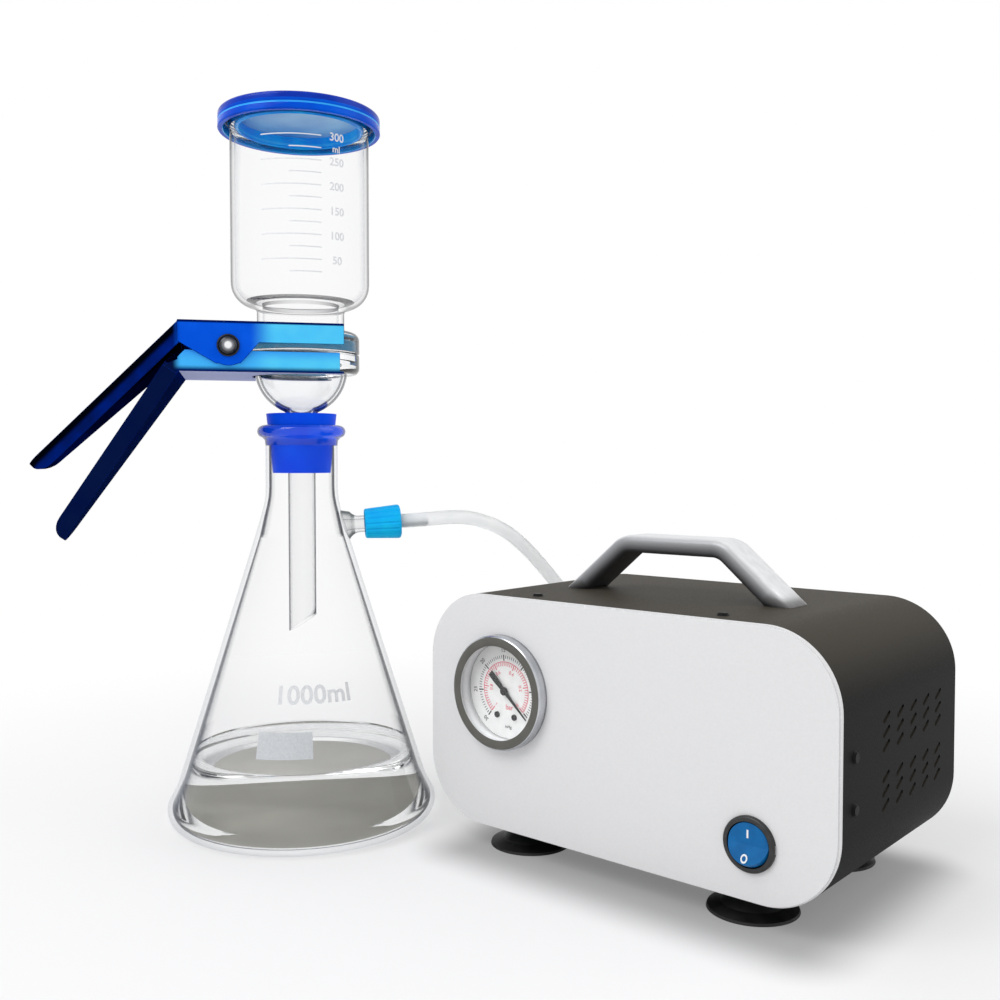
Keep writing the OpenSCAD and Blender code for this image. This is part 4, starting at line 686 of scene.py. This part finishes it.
def cupOutline(joint, neck, radius, corner, throat, top):
    flangeTop = joint + cup["flangeT"]
    bowl = flangeTop + cup["bowlUp"]
    floorZ = bowl + cup["floorT"]
    inR = radius - cup["wall"]
    inCorner = corner - cup["wall"]
    rows = banded(2, (throat, joint), (cup["flange"] - 1, joint))
    rows += arc(cup["flange"] - 1, joint + 1, 1, -90, 0, 4, 2)
    rows += arc(cup["flange"] - 4, flangeTop - 4, 4, 0, 82, 8, 2)
    rows += [(neck + 1.2, flangeTop + 0.3, 2)]
    rows += banded(0, (neck + 0.2, flangeTop + 1.4), (neck, flangeTop + 3), (neck, bowl - 2.6),
                   (neck + 0.35, bowl - 1.2))
    rows += arc(radius - corner, bowl + corner, corner, -82, -58, 5, 0)
    rows += arc(radius - corner, bowl + corner, corner, -54, -12, 8, 0)
    rows += banded(0, *[(radius, bowl + corner + z) for z in (0, 8, 24, 44, 64)])
    rows += banded(2, (radius, top - 6.5), (radius + 0.9, top - 3.8))
    rows += arc(cup["rim"] - 1.8, top - 1.8, 1.8, -30, 90, 8, 2)
    rows += [(inR + 0.6, top, 2)] + banded(3, (inR, top - 0.8), (inR, top - 40), (inR, top - 70))
    rows += arc(inR - inCorner, floorZ + inCorner, inCorner, 0, -56, 8, 3)
    rows += arc(inR - inCorner, floorZ + inCorner, inCorner, -62, -84, 3, 4)
    return rows + [(throat + 3.2, floorZ, 3), (throat + 1.7, floorZ, 3), (throat + 0.4, floorZ - 0.6, 4),
                   (throat, floorZ - 2.4, 3)]


lathe("funnelCupBody", cupOutline(cup["joint"], cup["neck"], cup["radius"], cup["corner"], cup["throat"], cup["top"]),
      "cupOuter cupInner cupGlass cupInner darkRing", "funnel_cup")

# lid: dished plate, deep skirt outside the rim and a plug inside it; its bands are lit and shaded copies of one blue
# plastic
lid = {"radius": 42.5, "under": 373.4, "plate": 2.2, "height": 9.4, "plug": 33.8, "skirt": 39.7}


def lidOutline(under, plug, skirt, radius):
    top = under + lid["plate"]
    low = top - lid["height"]
    rows = banded(1, (0, under), (plug - 6, under)) + [(plug - 2.2, under - 0.2, 2), (plug - 2, low + 3.4, 4)]
    rows += banded(2, (plug - 1.8, low + 2.2), (plug - 2, low + 1.2), (plug - 1.4, low + 0.7), (plug - 0.6, low + 1.1),
                   (plug, low + 2.2))
    rows += [(plug, under, 1), (skirt, under, 2), (skirt, low + 0.4, 4)]
    rows += banded(0, (skirt + 0.4, low), (radius - 0.5, low), (radius, low + 0.6))
    rows += [(radius - 0.1, low + 3.4, 4), (radius - 0.4, low + 3.8, 4), (radius - 0.1, low + 4.2, 0),
             (radius - 0.1, low + 5.8, 3)]
    rows += arc(radius - 2, top - 2, 1.9, 0, 90, 6, 3)
    return rows + banded(0, (plug + 1, top), (plug - 1, top), (plug - 3, top - 0.8), (0, top - 0.8))


lathe("cupLidBody", lidOutline(lid["under"], lid["plug"], lid["skirt"], lid["radius"]),
      "lidSkirt lidUnder lidRing lidEdge lidLine", "cup_lid", looped=False)
print("filter stack turned")

# marks on the glass: text and lines are thin shapes bent onto the surface
markedSide = -38.8  # heading of the side of the glass that carries the marks


def textShape(words, height, thick=0.12, spacing=1.0, weight=0.0):
    # letters as a bmesh in millimetres, centred, reading along +X
    letters = bpy.data.curves.new(words, "FONT")
    for setting, value in (("body", words), ("size", height), ("align_x", "CENTER"), ("align_y", "CENTER"),
                           ("space_character", spacing), ("offset", weight), ("extrude", thick / 2)):
        setattr(letters, setting, value)
    holder = bpy.data.objects.new(words, letters)
    scene.collection.objects.link(holder)
    bpy.context.view_layer.update()
    solid = bpy.data.meshes.new_from_object(holder.evaluated_get(bpy.context.evaluated_depsgraph_get()))
    shape = bmesh.new()
    shape.from_mesh(solid)
    bpy.data.objects.remove(holder)
    bpy.data.meshes.remove(solid)
    return shape


def wrapRound(shape, angle, height, radiusAt, lift=0.05, lean=0.0):
    # bends a flat bmesh onto a body of revolution; angle in degrees from the side that is marked
    for vert in shape.verts:
        z = height + vert.co.y * math.cos(lean)
        r = radiusAt(z) + lift + vert.co.z
        a = math.radians(markedSide + angle) + vert.co.x / radiusAt(height)
        vert.co = Vector((r * math.cos(a), r * math.sin(a), z)) * mm
    return shape


def flatPatch(left, right, low, high, steps, thick=0.1):
    # flat strip in millimetres, cut into steps so that it bends well
    shape = bmesh.new()
    rows = []
    for k in range(steps + 1):
        x = left + (right - left) * k / steps
        rows.append([shape.verts.new((x, y, z)) for y, z in ((low, 0), (high, 0), (high, thick), (low, thick))])
    stitch(shape, rows)
    return shape


def joinShapes(name, shapes, finish):
    whole = bmesh.new()
    for part in shapes:
        spare = bpy.data.meshes.new("spare")
        part.to_mesh(spare)
        part.free()
        whole.from_mesh(spare)
        bpy.data.meshes.remove(spare)
    bmesh.ops.recalc_face_normals(whole, faces=whole.faces)
    return settle(name, whole, finish, "root")


cupScale = {"values": (50, 100, 150, 200, 250, 300), "first": 294.0, "step": 12.4, "longFrom": -31.8,
            "shortFrom": -8.5, "to": 17.0, "numberAt": 30.5, "numberH": 5.6, "unit": ("ml", 30.0, 350.0, 4.6),
            "line": 0.55, "weight": 0.08}


def cupRadius(z):
    # the cup's wall is straight, so z makes no difference
    return cup["radius"]


scaleShapes = []
for k, value in enumerate(cupScale["values"]):
    z = cupScale["first"] + k * cupScale["step"]
    number = textShape(str(value), cupScale["numberH"], weight=cupScale["weight"])
    scaleShapes.append(wrapRound(number, cupScale["numberAt"], z, cupRadius))
    for lineFrom, lower in ((cupScale["longFrom"], 0), (cupScale["shortFrom"], cupScale["step"] / 2)):
        left, right = (math.radians(a) * cup["radius"] for a in (lineFrom, cupScale["to"]))
        strip = flatPatch(left, right, -cupScale["line"] / 2, cupScale["line"] / 2, 16)
        scaleShapes.append(wrapRound(strip, 0, z - lower, cupRadius))
words, angle, z, height = cupScale["unit"]
scaleShapes.append(wrapRound(textShape(words, height, weight=cupScale["weight"]), angle, z, cupRadius))
joinShapes("cupScaleMarks", scaleShapes, "printGrey")

flaskMarks = {"words": "1000ml", "side": 5.0, "middle": 75.5, "height": 12.8, "weight": 0.3, "spacing": 1.02,
              "patch": (-23, 4.5, 46, 58.5)}
capacity = textShape(flaskMarks["words"], flaskMarks["height"], spacing=flaskMarks["spacing"],
                     weight=flaskMarks["weight"])
wrapRound(capacity, math.degrees(flaskMarks["side"] / coneRadius(75)), flaskMarks["middle"], coneRadius,
          lean=math.atan(flask["slope"]))
joinShapes("flaskCapacityMark", [capacity], "printFaint")
left, right, low, high = flaskMarks["patch"]
middle = (low + high) / 2
patch = flatPatch(left, right, low - middle, high - middle, 24)
bmesh.ops.subdivide_edges(patch, edges=[e for e in patch.edges if abs(e.verts[0].co.y - e.verts[1].co.y) > 5], cuts=3)
joinShapes("flaskWritingPatch", [wrapRound(patch, 0, middle, coneRadius)], "frostedPatch")
print("marks on the glass")

# the clamp's own directions, for paint that changes along the levers
squeeze = joints["clamp_squeeze"]
pivot = Vector(squeeze["pos_m"])
pinLine = Vector(squeeze["axis"]).normalized()
backwards = Vector((0, 0, 1)).cross(pinLine)
if backwards.dot(Vector((pivot.x, pivot.y, 0))) < 0:
    backwards = -backwards


# clamp levers: folded sheet with softened edges
def softened(nodeName, width, finish, body):
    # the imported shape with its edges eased; the eased faces take the last finish
    shape = bmesh.new()
    shape.from_mesh(nodes[nodeName].data)
    bmesh.ops.remove_doubles(shape, verts=shape.verts, dist=1e-7)
    bmesh.ops.dissolve_limit(shape, angle_limit=math.radians(0.6), verts=shape.verts, edges=shape.edges)
    sharp = [e for e in shape.edges if len(e.link_faces) == 2 and e.calc_face_angle() > math.radians(32)]
    bmesh.ops.bevel(shape, geom=sharp, offset=width * mm, segments=2, affect="EDGES", clamp_overlap=True, material=1)
    for face in shape.faces:
        face.smooth = True
    crease(shape, 34)
    settle(nodeName + "Body", shape, finish, body, nodeName)


# lever colours are lit and shaded copies of one blue coat, for painted light and shade
lever = {"tip": tone(92, 214, 255), "tipDark": tone(78, 200, 255), "pivot": tone(12, 92, 232),
         "pivotDark": tone(4, 80, 216), "lowPivot": tone(70, 184, 255), "shade": tone(56, 158, 250),
         "navy": tone(0, 22, 92), "web": tone(180, 186, 220), "black": tone(2, 4, 12), "grip": tone(0, 34, 132),
         "gripDark": tone(4, 18, 66), "gripLow": tone(8, 24, 66), "heel": 24.5, "cloud": 60, "rough": (0.34, 0.44),
         "ease": 0.3, "upper": (43.5, 262.3), "lower": (55.5, 237.0),  # slope and height of the web
         # where one colour eases into the next: millimetres behind the pivot, above the web or in from the heel
         "blends": {"tip": (-24, -10), "webTop": (-1.6, -0.9), "heel": (2.8, 5.2), "shade": (5, 12),
                    "navy": (0.4, 3.4), "grip": (22.5, 27)}, "underside": (0.75, 0.97)}  # share of facing down


def makeLeverPaint(name, upper):
    # painted light and shade on one blue coat: sky blue at the jaw's tip as a painted highlight, deeper at the pivot,
    # navy to black down the handle as painted shade; the underside takes a painted reflection of the bench
    finishes[name], tree, shader, place = freshFinish(name)
    slope, webZ = lever["upper" if upper else "lower"]
    back = along(tree, place, backwards)
    height = along(tree, place, (0, 0, 1))
    zero = backwards.dot(pivot)
    cloud = speckle(tree, place, lever["cloud"])

    def change(value, zeroAt, blend, first, second):
        low, high = (zeroAt + end * mm for end in lever["blends"][blend])
        return blendColours(tree, rampBetween(tree, value, low, high), first, second)

    atPivot = twoTone(tree, cloud, lever["pivotDark"], lever["pivot"]) if upper else lever["lowPivot"]
    jaw = change(back, zero, "tip", twoTone(tree, cloud, lever["tipDark"], lever["tip"]), atPivot)
    if upper:
        # painted shade: a navy line along the top edge, and black to navy across the handle
        jaw = change(height, webZ * mm, "webTop", jaw, lever["navy"])
        lean = math.radians(slope)
        across = -backwards * math.sin(lean) - Vector((0, 0, math.cos(lean)))
        edge = across.dot(backwards * (zero + lever["heel"] * mm) + Vector((0, 0, webZ * mm)))
        grip = change(along(tree, place, across), edge, "heel", lever["black"],
                      twoTone(tree, cloud, lever["gripDark"], lever["grip"]))
    else:
        # painted light and shade: a paler blue higher up the plate, navy along its bottom edge
        jaw = change(height, webZ * mm, "shade", jaw, lever["shade"])
        jaw = change(height, webZ * mm, "navy", lever["navy"], jaw)
        grip = twoTone(tree, cloud, lever["gripDark"], lever["gripLow"])
    paint = change(back, zero, "grip", jaw, grip)
    # painted reflection: the lower lever's underside turns pale as if it showed the bench
    if not upper:
        paint = blendColours(tree, facingShare(tree, (0, 0, -1), *lever["underside"]), paint, lever["web"])
    feedAll(tree, shader, {"Base Color": paint, "Roughness": spread(tree, cloud, *lever["rough"]),
                           "Specular IOR Level": 0.0})


makeLeverPaint("upperLever", True)
makeLeverPaint("lowerLever", False)
softened("clamp_upper_lever", lever["ease"], "upperLever leverEdge", "clamp_upper")
softened("clamp_lower_lever", lever["ease"], "lowerLever leverEdge", "root")

# rivet: dome in a dark washer ring, with a painted highlight at its middle fading to painted shade towards its edge
rivet = {"bright": tone(246, 246, 248), "mid": tone(120, 122, 128), "dark": tone(34, 36, 40), "domeLightFades": (1.2, 2.4, 3.6),
         "rough": (0.2, 0.3), "metal": 0.3, "washer": 5.6, "washerT": 0.5, "washerHole": 4.75, "out": 34.2}
finishes["rivetDome"], tree, shader, place = freshFinish("rivetDome")
cloud = speckle(tree, place, 260, 2.0)
fromLine = vectorStep(tree, "LENGTH", vectorStep(tree, "CROSS_PRODUCT", vectorStep(tree, "SUBTRACT", place, pivot),
                                                 pinLine), output="Value")
domeLightFades = [distance * mm for distance in rivet["domeLightFades"]]
# painted highlight on the dome's middle, painted shade towards its edge
dome = blendColours(tree, rampBetween(tree, fromLine, *domeLightFades[:2]), rivet["bright"], rivet["mid"])
dome = blendColours(tree, rampBetween(tree, fromLine, *domeLightFades[1:]), dome, rivet["dark"])
feedAll(tree, shader, {"Base Color": dome, "Roughness": spread(tree, cloud, *rivet["rough"]),
                       "Metallic": rivet["metal"]})
headingSeen = math.radians(markedSide)
pinSide = pinLine if pinLine.dot(Vector((math.cos(headingSeen), math.sin(headingSeen), 0))) > 0 else -pinLine


def axisRing(shape, centre, axis, across, radius, reach, turns=48):
    upward = axis.cross(across)
    return [shape.verts.new(centre + axis * reach * mm + (across * math.cos(2 * math.pi * k / turns)
                            + upward * math.sin(2 * math.pi * k / turns)) * radius * mm) for k in range(turns)]


out = rivet["out"]
pinEnds = [(2.5, out - 1), (4.7, out - 0.9), (4.7, out + 0.2), (4.3, out + 1.1), (3.5, out + 1.7), (2.4, out + 2.1),
           (1.2, out + 2.3), (0.05, out + 2.35)]
pinShape = bmesh.new()
joinRings(pinShape, [axisRing(pinShape, pivot, pinSide, backwards, r, reach)
                     for r, reach in [(r, -reach) for r, reach in pinEnds[::-1]] + pinEnds])
settle("clampPinBody", pinShape, "rivetDome", "root", "clamp_pin")
for label, axis in (("Near", pinSide), ("Far", -pinSide)):
    washer = bmesh.new()
    joinRings(washer, [axisRing(washer, pivot, axis, backwards, r, reach) for r, reach in
                       ((rivet["washerHole"], out), (rivet["washerHole"], out + rivet["washerT"]),
                        (rivet["washer"] - 0.3, out + rivet["washerT"]),
                        (rivet["washer"], out + 0.3), (rivet["washer"], out))], looped=True)
    settle("rivetRing" + label, washer, "darkRivet", "root")

# screw cap: coarse ribs, wider at its open end
cap = {"from": 33.6, "length": 19.4, "near": 8.1, "far": 9.2, "rib": 0.55, "ribs": 16, "bore": 7.2, "hole": 4.0}


def ribbed(radius, depth):
    return lambda a: radius - cap["rib"] * max(0.0, math.cos(cap["ribs"] * a)) ** 3 * depth


def capProfile(near, far, bore, hole):
    # reach along the arm, radius and depth of the ribs, from the open end's inside out and back in
    start, end = cap["from"], cap["from"] + cap["length"]
    rows = [(start + 2, bore, 0), (start, bore, 0), (start, near - 0.7, 0), (start + 0.5, near - 0.1, 0.3)]
    rows += [(start + 1.2 + k / 8 * (cap["length"] - 3.0), near + (far - near) * k / 8, 1.0) for k in range(9)]
    return rows + [(end - 0.9, far - 0.1, 0.5), (end - 0.3, far - 0.7, 0.2), (end, far - 1.5, 0), (end, hole, 0),
                   (end - 2.4, hole, 0), (end - 2.5, bore, 0)]


capShape = bmesh.new()
capRings = [armRing(capShape, reach, ribbed(radius, depth), turns=192)
            for reach, radius, depth in capProfile(cap["near"], cap["far"], cap["bore"], cap["hole"])]
joinRings(capShape, capRings, looped=True)
settle("sideArmCapBody", capShape, "cyanPlastic", "side_cap", "side_arm_cap")
print("clamp and cap dressed")

# pump handle: extruded bar with rounded edges, bent twice
bar = {"mid": 182, "grip": 88, "top": 126.5, "half": 63, "flat": 29, "height": 29, "width": 21, "thick": 8.6,
       "bend": 17, "edge": 3.2, "pale": tone(232, 233, 234), "paleDark": tone(218, 219, 221),
       "shade": tone(172, 173, 175), "deep": tone(78, 78, 80), "rough": (0.34, 0.46), "bump": (0.12, 0.00008),
       "metal": 0.35, "gloss": 0.2, "flankFade": (0.1, 0.85), "faceFade": (0.0, 0.2)}  # fades: share of the thickness
# painted light and shade: pale on the outer face, shading from mid grey to dark grey down the flanks by the share of
# the thickness
finishes["handleAluminium"], tree, shader, place = freshFinish("handleAluminium")
cloud = speckle(tree, place, 300, 4.0, (0.1, 1, 1))
acrossBar = step(tree, "Attribute", "Fac", {}, attribute_name="across")
flank = blendColours(tree, rampBetween(tree, acrossBar, *bar["flankFade"]), bar["shade"], bar["deep"])
flank = blendColours(tree, rampBetween(tree, acrossBar, *bar["faceFade"]),
                     twoTone(tree, cloud, bar["paleDark"], bar["pale"]), flank)
feedAll(tree, shader, {"Base Color": flank, "Roughness": spread(tree, cloud, *bar["rough"]),
                       "Metallic": bar["metal"], "Specular IOR Level": bar["gloss"]})
roughen(tree, shader, cloud, *bar["bump"])


def barOutline(half, flat, height, bend):
    # points (x, z) and outward normals along the bar's outer face, from one foot to the other
    slope = math.atan2(height, half - flat)
    centreX, centreZ = flat - bend * math.tan(slope / 2), height - bend
    touch = math.pi / 2 - slope
    normal = (math.cos(touch), math.sin(touch))
    hitX, hitZ = centreX + bend * normal[0], centreZ + bend * normal[1]
    points = [((half + (hitX - half) * part, hitZ * part), normal) for part in (0, 0.32, 0.5, 0.75, 1)]
    for k in range(1, 13):
        a = touch + slope * k / 12
        points.append(((centreX + bend * math.cos(a), centreZ + bend * math.sin(a)), (math.cos(a), math.sin(a))))
    mirrored = [((-x, z), (-nx, nz)) for (x, z), (nx, nz) in points]
    return mirrored + [((0.0, height), (0.0, 1.0))] + points[::-1]


def barSection(halfW, thick, round, steps=5):
    # (across the width, into the thickness) round the bar's section
    inner = round * 0.7
    loop = []
    for cx, cy, a0, rad in ((halfW - round, round, -90, round), (halfW - inner, thick - inner, 0, inner),
                            (-halfW + inner, thick - inner, 90, inner), (-halfW + round, round, 180, round)):
        for k in range(steps + 1):
            a = math.radians(a0 + 90 * k / steps)
            loop.append((cx + rad * math.cos(a), cy + rad * math.sin(a)))
    return loop


barShape = bmesh.new()
acrossLayer = barShape.verts.layers.float.new("across")
barRings = []
section = barSection(bar["width"] / 2, bar["thick"], bar["edge"])
for (x, z), (nx, nz) in barOutline(bar["half"], bar["flat"], bar["height"], bar["bend"]):
    ring = []
    for wide, deep in section:
        px, pz = x - nx * deep, z - nz * deep
        if z == 0:
            # the feet are cut level with the case
            px -= math.copysign(nz * nz * deep / abs(nx), nx)
            pz = 0
        vert = barShape.verts.new(Vector((bar["mid"] + px, bar["grip"] + wide, bar["top"] + 0.02 + pz)) * mm)
        vert[acrossLayer] = deep / bar["thick"]
        ring.append(vert)
    barRings.append(ring)
joinRings(barShape, barRings)
barShape.faces.new(barRings[0])
barShape.faces.new(barRings[-1][::-1])
bmesh.ops.recalc_face_normals(barShape, faces=barShape.faces)
settle("handleBar", barShape, "handleAluminium", "root", "handle")
print("handle bent")

# gauge face
gauge = {"at": (120, 80), "face": 29.42, "zero": -40, "sweep": 270, "majors": 6, "minors": 10, "tickR": 17.3,
         "tickL": 2.6, "minorL": 1.5, "numberR": 19.9, "numberH": 2.9, "redSteps": 50, "redEvery": 10, "innerR": 14.0,
         "redNumbers": ("0", "0.2", "0.4", "0.6", "0.8", "1"), "redR": 9.4, "redH": 2.5, "majorW": 0.62, "minorW": 0.3,
         "redLong": (2.8, 0.5), "redShort": (1.9, 0.34), "band": 0.3,  # length and width of a red line
         "redUnit": ("bar", 3.6, 2.2, -8.0), "blackUnit": ("inHg", 2.2, 1.6, -17.6)}  # word, height, x, y


def dialShape(parts):
    # flat bmesh in the dial's plane (x right, y up, in millimetres) placed just in front of the dial
    for vert in parts.verts:
        vert.co = Vector((gauge["at"][0] + vert.co.x, gauge["face"] - vert.co.z, gauge["at"][1] + vert.co.y)) * mm
    return parts


def tick(shape, degrees, inner, outer, wide, thick=0.06):
    a = math.radians(degrees)
    ux, uy = math.cos(a), math.sin(a)
    corners = [(inner, -wide / 2), (outer, -wide / 2), (outer, wide / 2), (inner, wide / 2)]
    stitch(shape, [[shape.verts.new((ux * r - uy * w, uy * r + ux * w, z)) for r, w in corners] for z in (0, thick)])


def arcBand(shape, start, stop, radius, wide, steps=72, thick=0.05):
    rows = []
    for k in range(steps + 1):
        a = math.radians(start + (stop - start) * k / steps)
        rows.append([shape.verts.new((math.cos(a) * r, math.sin(a) * r, z))
                     for r, z in ((radius, 0), (radius + wide, 0), (radius + wide, thick), (radius, thick))])
    stitch(shape, rows)


def placedText(words, height, x, y, turn=0.0, thick=0.05):
    shape = textShape(words, height, thick)
    c, s = math.cos(math.radians(turn)), math.sin(math.radians(turn))
    for vert in shape.verts:
        vert.co = Vector((x + c * vert.co.x - s * vert.co.y, y + s * vert.co.x + c * vert.co.y, vert.co.z + thick / 2))
    return shape


def numberRound(words, height, radius, degrees):
    a = math.radians(degrees)
    return placedText(words, height, math.cos(a) * radius, math.sin(a) * radius, degrees - 90)


blackShapes, redShapes = [], []
blackTicks, redTicks = bmesh.new(), bmesh.new()
tickR, innerR = gauge["tickR"], gauge["innerR"]
for major in range(gauge["majors"] + 1):
    degrees = gauge["zero"] + gauge["sweep"] * major / gauge["majors"]
    tick(blackTicks, degrees, tickR - gauge["tickL"], tickR + 0.3, gauge["majorW"])
    blackShapes.append(numberRound(str(major * 5), gauge["numberH"], gauge["numberR"], degrees))
    if major < gauge["majors"]:
        for minor in range(1, gauge["minors"]):
            tick(blackTicks, degrees + gauge["sweep"] / gauge["majors"] * minor / gauge["minors"],
                 tickR - gauge["minorL"], tickR, gauge["minorW"])
for k in range(gauge["redSteps"] + 1):
    degrees = gauge["zero"] + gauge["sweep"] * k / gauge["redSteps"]
    numbered = k % gauge["redEvery"] == 0
    length, wide = gauge["redLong" if numbered else "redShort"]
    tick(redTicks, degrees, innerR - length, innerR, wide)
    if numbered:
        redShapes.append(numberRound(gauge["redNumbers"][k // gauge["redEvery"]], gauge["redH"], gauge["redR"],
                                     degrees))
arcBand(redTicks, gauge["zero"], gauge["zero"] + gauge["sweep"], innerR, gauge["band"])
redShapes += [redTicks, placedText(*gauge["redUnit"])]
blackShapes += [blackTicks, placedText(*gauge["blackUnit"])]
joinShapes("gaugeBlackScale", [dialShape(shape) for shape in blackShapes], "printBlack")
joinShapes("gaugeRedScale", [dialShape(shape) for shape in redShapes], "printRed")

# bezel: flat taupe ring with a bright turned edge; a pale liner closes the gap down to the dial
bezel = {"foot": 25.1, "out": 28, "front": 5.5, "round": 1.4, "lip": 22.9, "lens": 4.52, "liner": 23.66,
         "linerT": 0.12, "dialAt": -3.45, "lensBack": 2.95, "panelY": 26}
panelAt = Vector((gauge["at"][0], bezel["panelY"], gauge["at"][1])) * mm


def turnedRing(name, profile, bands, finish, node=None):
    shape = bmesh.new()
    rings = [axisRing(shape, panelAt, Vector((0, -1, 0)), Vector((1, 0, 0)), r, reach, turns=96)
             for r, reach in profile]
    joinRings(shape, rings, bands, looped=True)
    settle(name, shape, finish, "root", node)


def bezelProfile(foot, out, front, round, lip, lens):
    roundAt = front - round
    rows = [(foot, 0.0), (out, 0.0), (out, roundAt * 0.5), (out, roundAt)]
    rows += [(out - round * (1 - math.cos(math.radians(a))), roundAt + round * math.sin(math.radians(a)))
             for a in (22, 45, 68, 90)]
    return rows + [(lip + 0.35, front), (lip, front - 0.35), (lip, lens), (foot + 0.4, lens), (foot, 2.0)]


turnedRing("gaugeBezelBody", bezelProfile(*[bezel[key] for key in ("foot", "out", "front", "round", "lip", "lens")]),
           [0, 1, 1, 1, 1, 1, 0, 0, 0, 2, 2, 2, 0], "bezelMetal bezelChrome bezelWall", "gauge_bezel")
linerIn, linerOut = bezel["liner"], bezel["liner"] + bezel["linerT"]
turnedRing("gaugeLiner", [(linerIn, bezel["dialAt"]), (linerIn, bezel["lensBack"]), (linerOut, bezel["lensBack"]),
                          (linerOut, bezel["dialAt"])], None, "bezelWall")

# rocker marks: laid on the rocker's own surface
rocker = {"at": (254, 36), "line": (-0.2, 4.5, 0.8, 3.4), "circle": (-0.5, -5.2, 0.9, 1.5), "tall": 1.15,
          "lift": 0.05, "thick": 0.12}
rockerMesh = nodes["switch_rocker"].data
rockerTree = BVHTree.FromPolygons([v.co.copy() for v in rockerMesh.vertices],
                                  [tuple(p.vertices) for p in rockerMesh.polygons])
markShape = bmesh.new()
middleX, middleZ = rocker["at"]


def markPoint(x, z, layer):
    return markShape.verts.new(((middleX + x) * mm, layer * mm, (middleZ + z) * mm))


lineX, lineZ, lineW, lineH = rocker["line"]
lineRows = []
for part in range(7):
    z = lineZ + lineH * (part / 6 - 0.5)
    lineRows.append([markPoint(lineX + lineW * side, z, layer) for side, layer in
                     ((-0.5, 0), (0.5, 0), (0.5, rocker["thick"]), (-0.5, rocker["thick"]))])
stitch(markShape, lineRows)
circleX, circleZ, circleIn, circleOut = rocker["circle"]
circleRows = []
for k in range(40):
    a = 2 * math.pi * k / 40
    circleRows.append([markPoint(circleX + r * math.cos(a), circleZ + r * rocker["tall"] * math.sin(a), layer)
                       for r, layer in ((circleIn, 0), (circleOut, 0), (circleOut, rocker["thick"]),
                                        (circleIn, rocker["thick"]))])
stitch(markShape, circleRows, looped=True)
for vert in markShape.verts:
    # each point drops back onto the surface behind it, keeping its own thickness
    hit, _, _, _ = rockerTree.ray_cast(Vector((vert.co.x, 0.0, vert.co.z)), Vector((0, 1, 0)))
    if hit:
        vert.co.y = hit.y - rocker["lift"] * mm - vert.co.y
bmesh.ops.recalc_face_normals(markShape, faces=markShape.faces)
settle("rockerMarks", markShape, "printWhite", "rocker")

# the panel's eased edge catches the light, and its paler edge finish adds a painted highlight
panel = {"ease": 0.55}
softened("front_panel", panel["ease"], "panelCoat panelEdge", "root")
print("gauge and rocker marked")
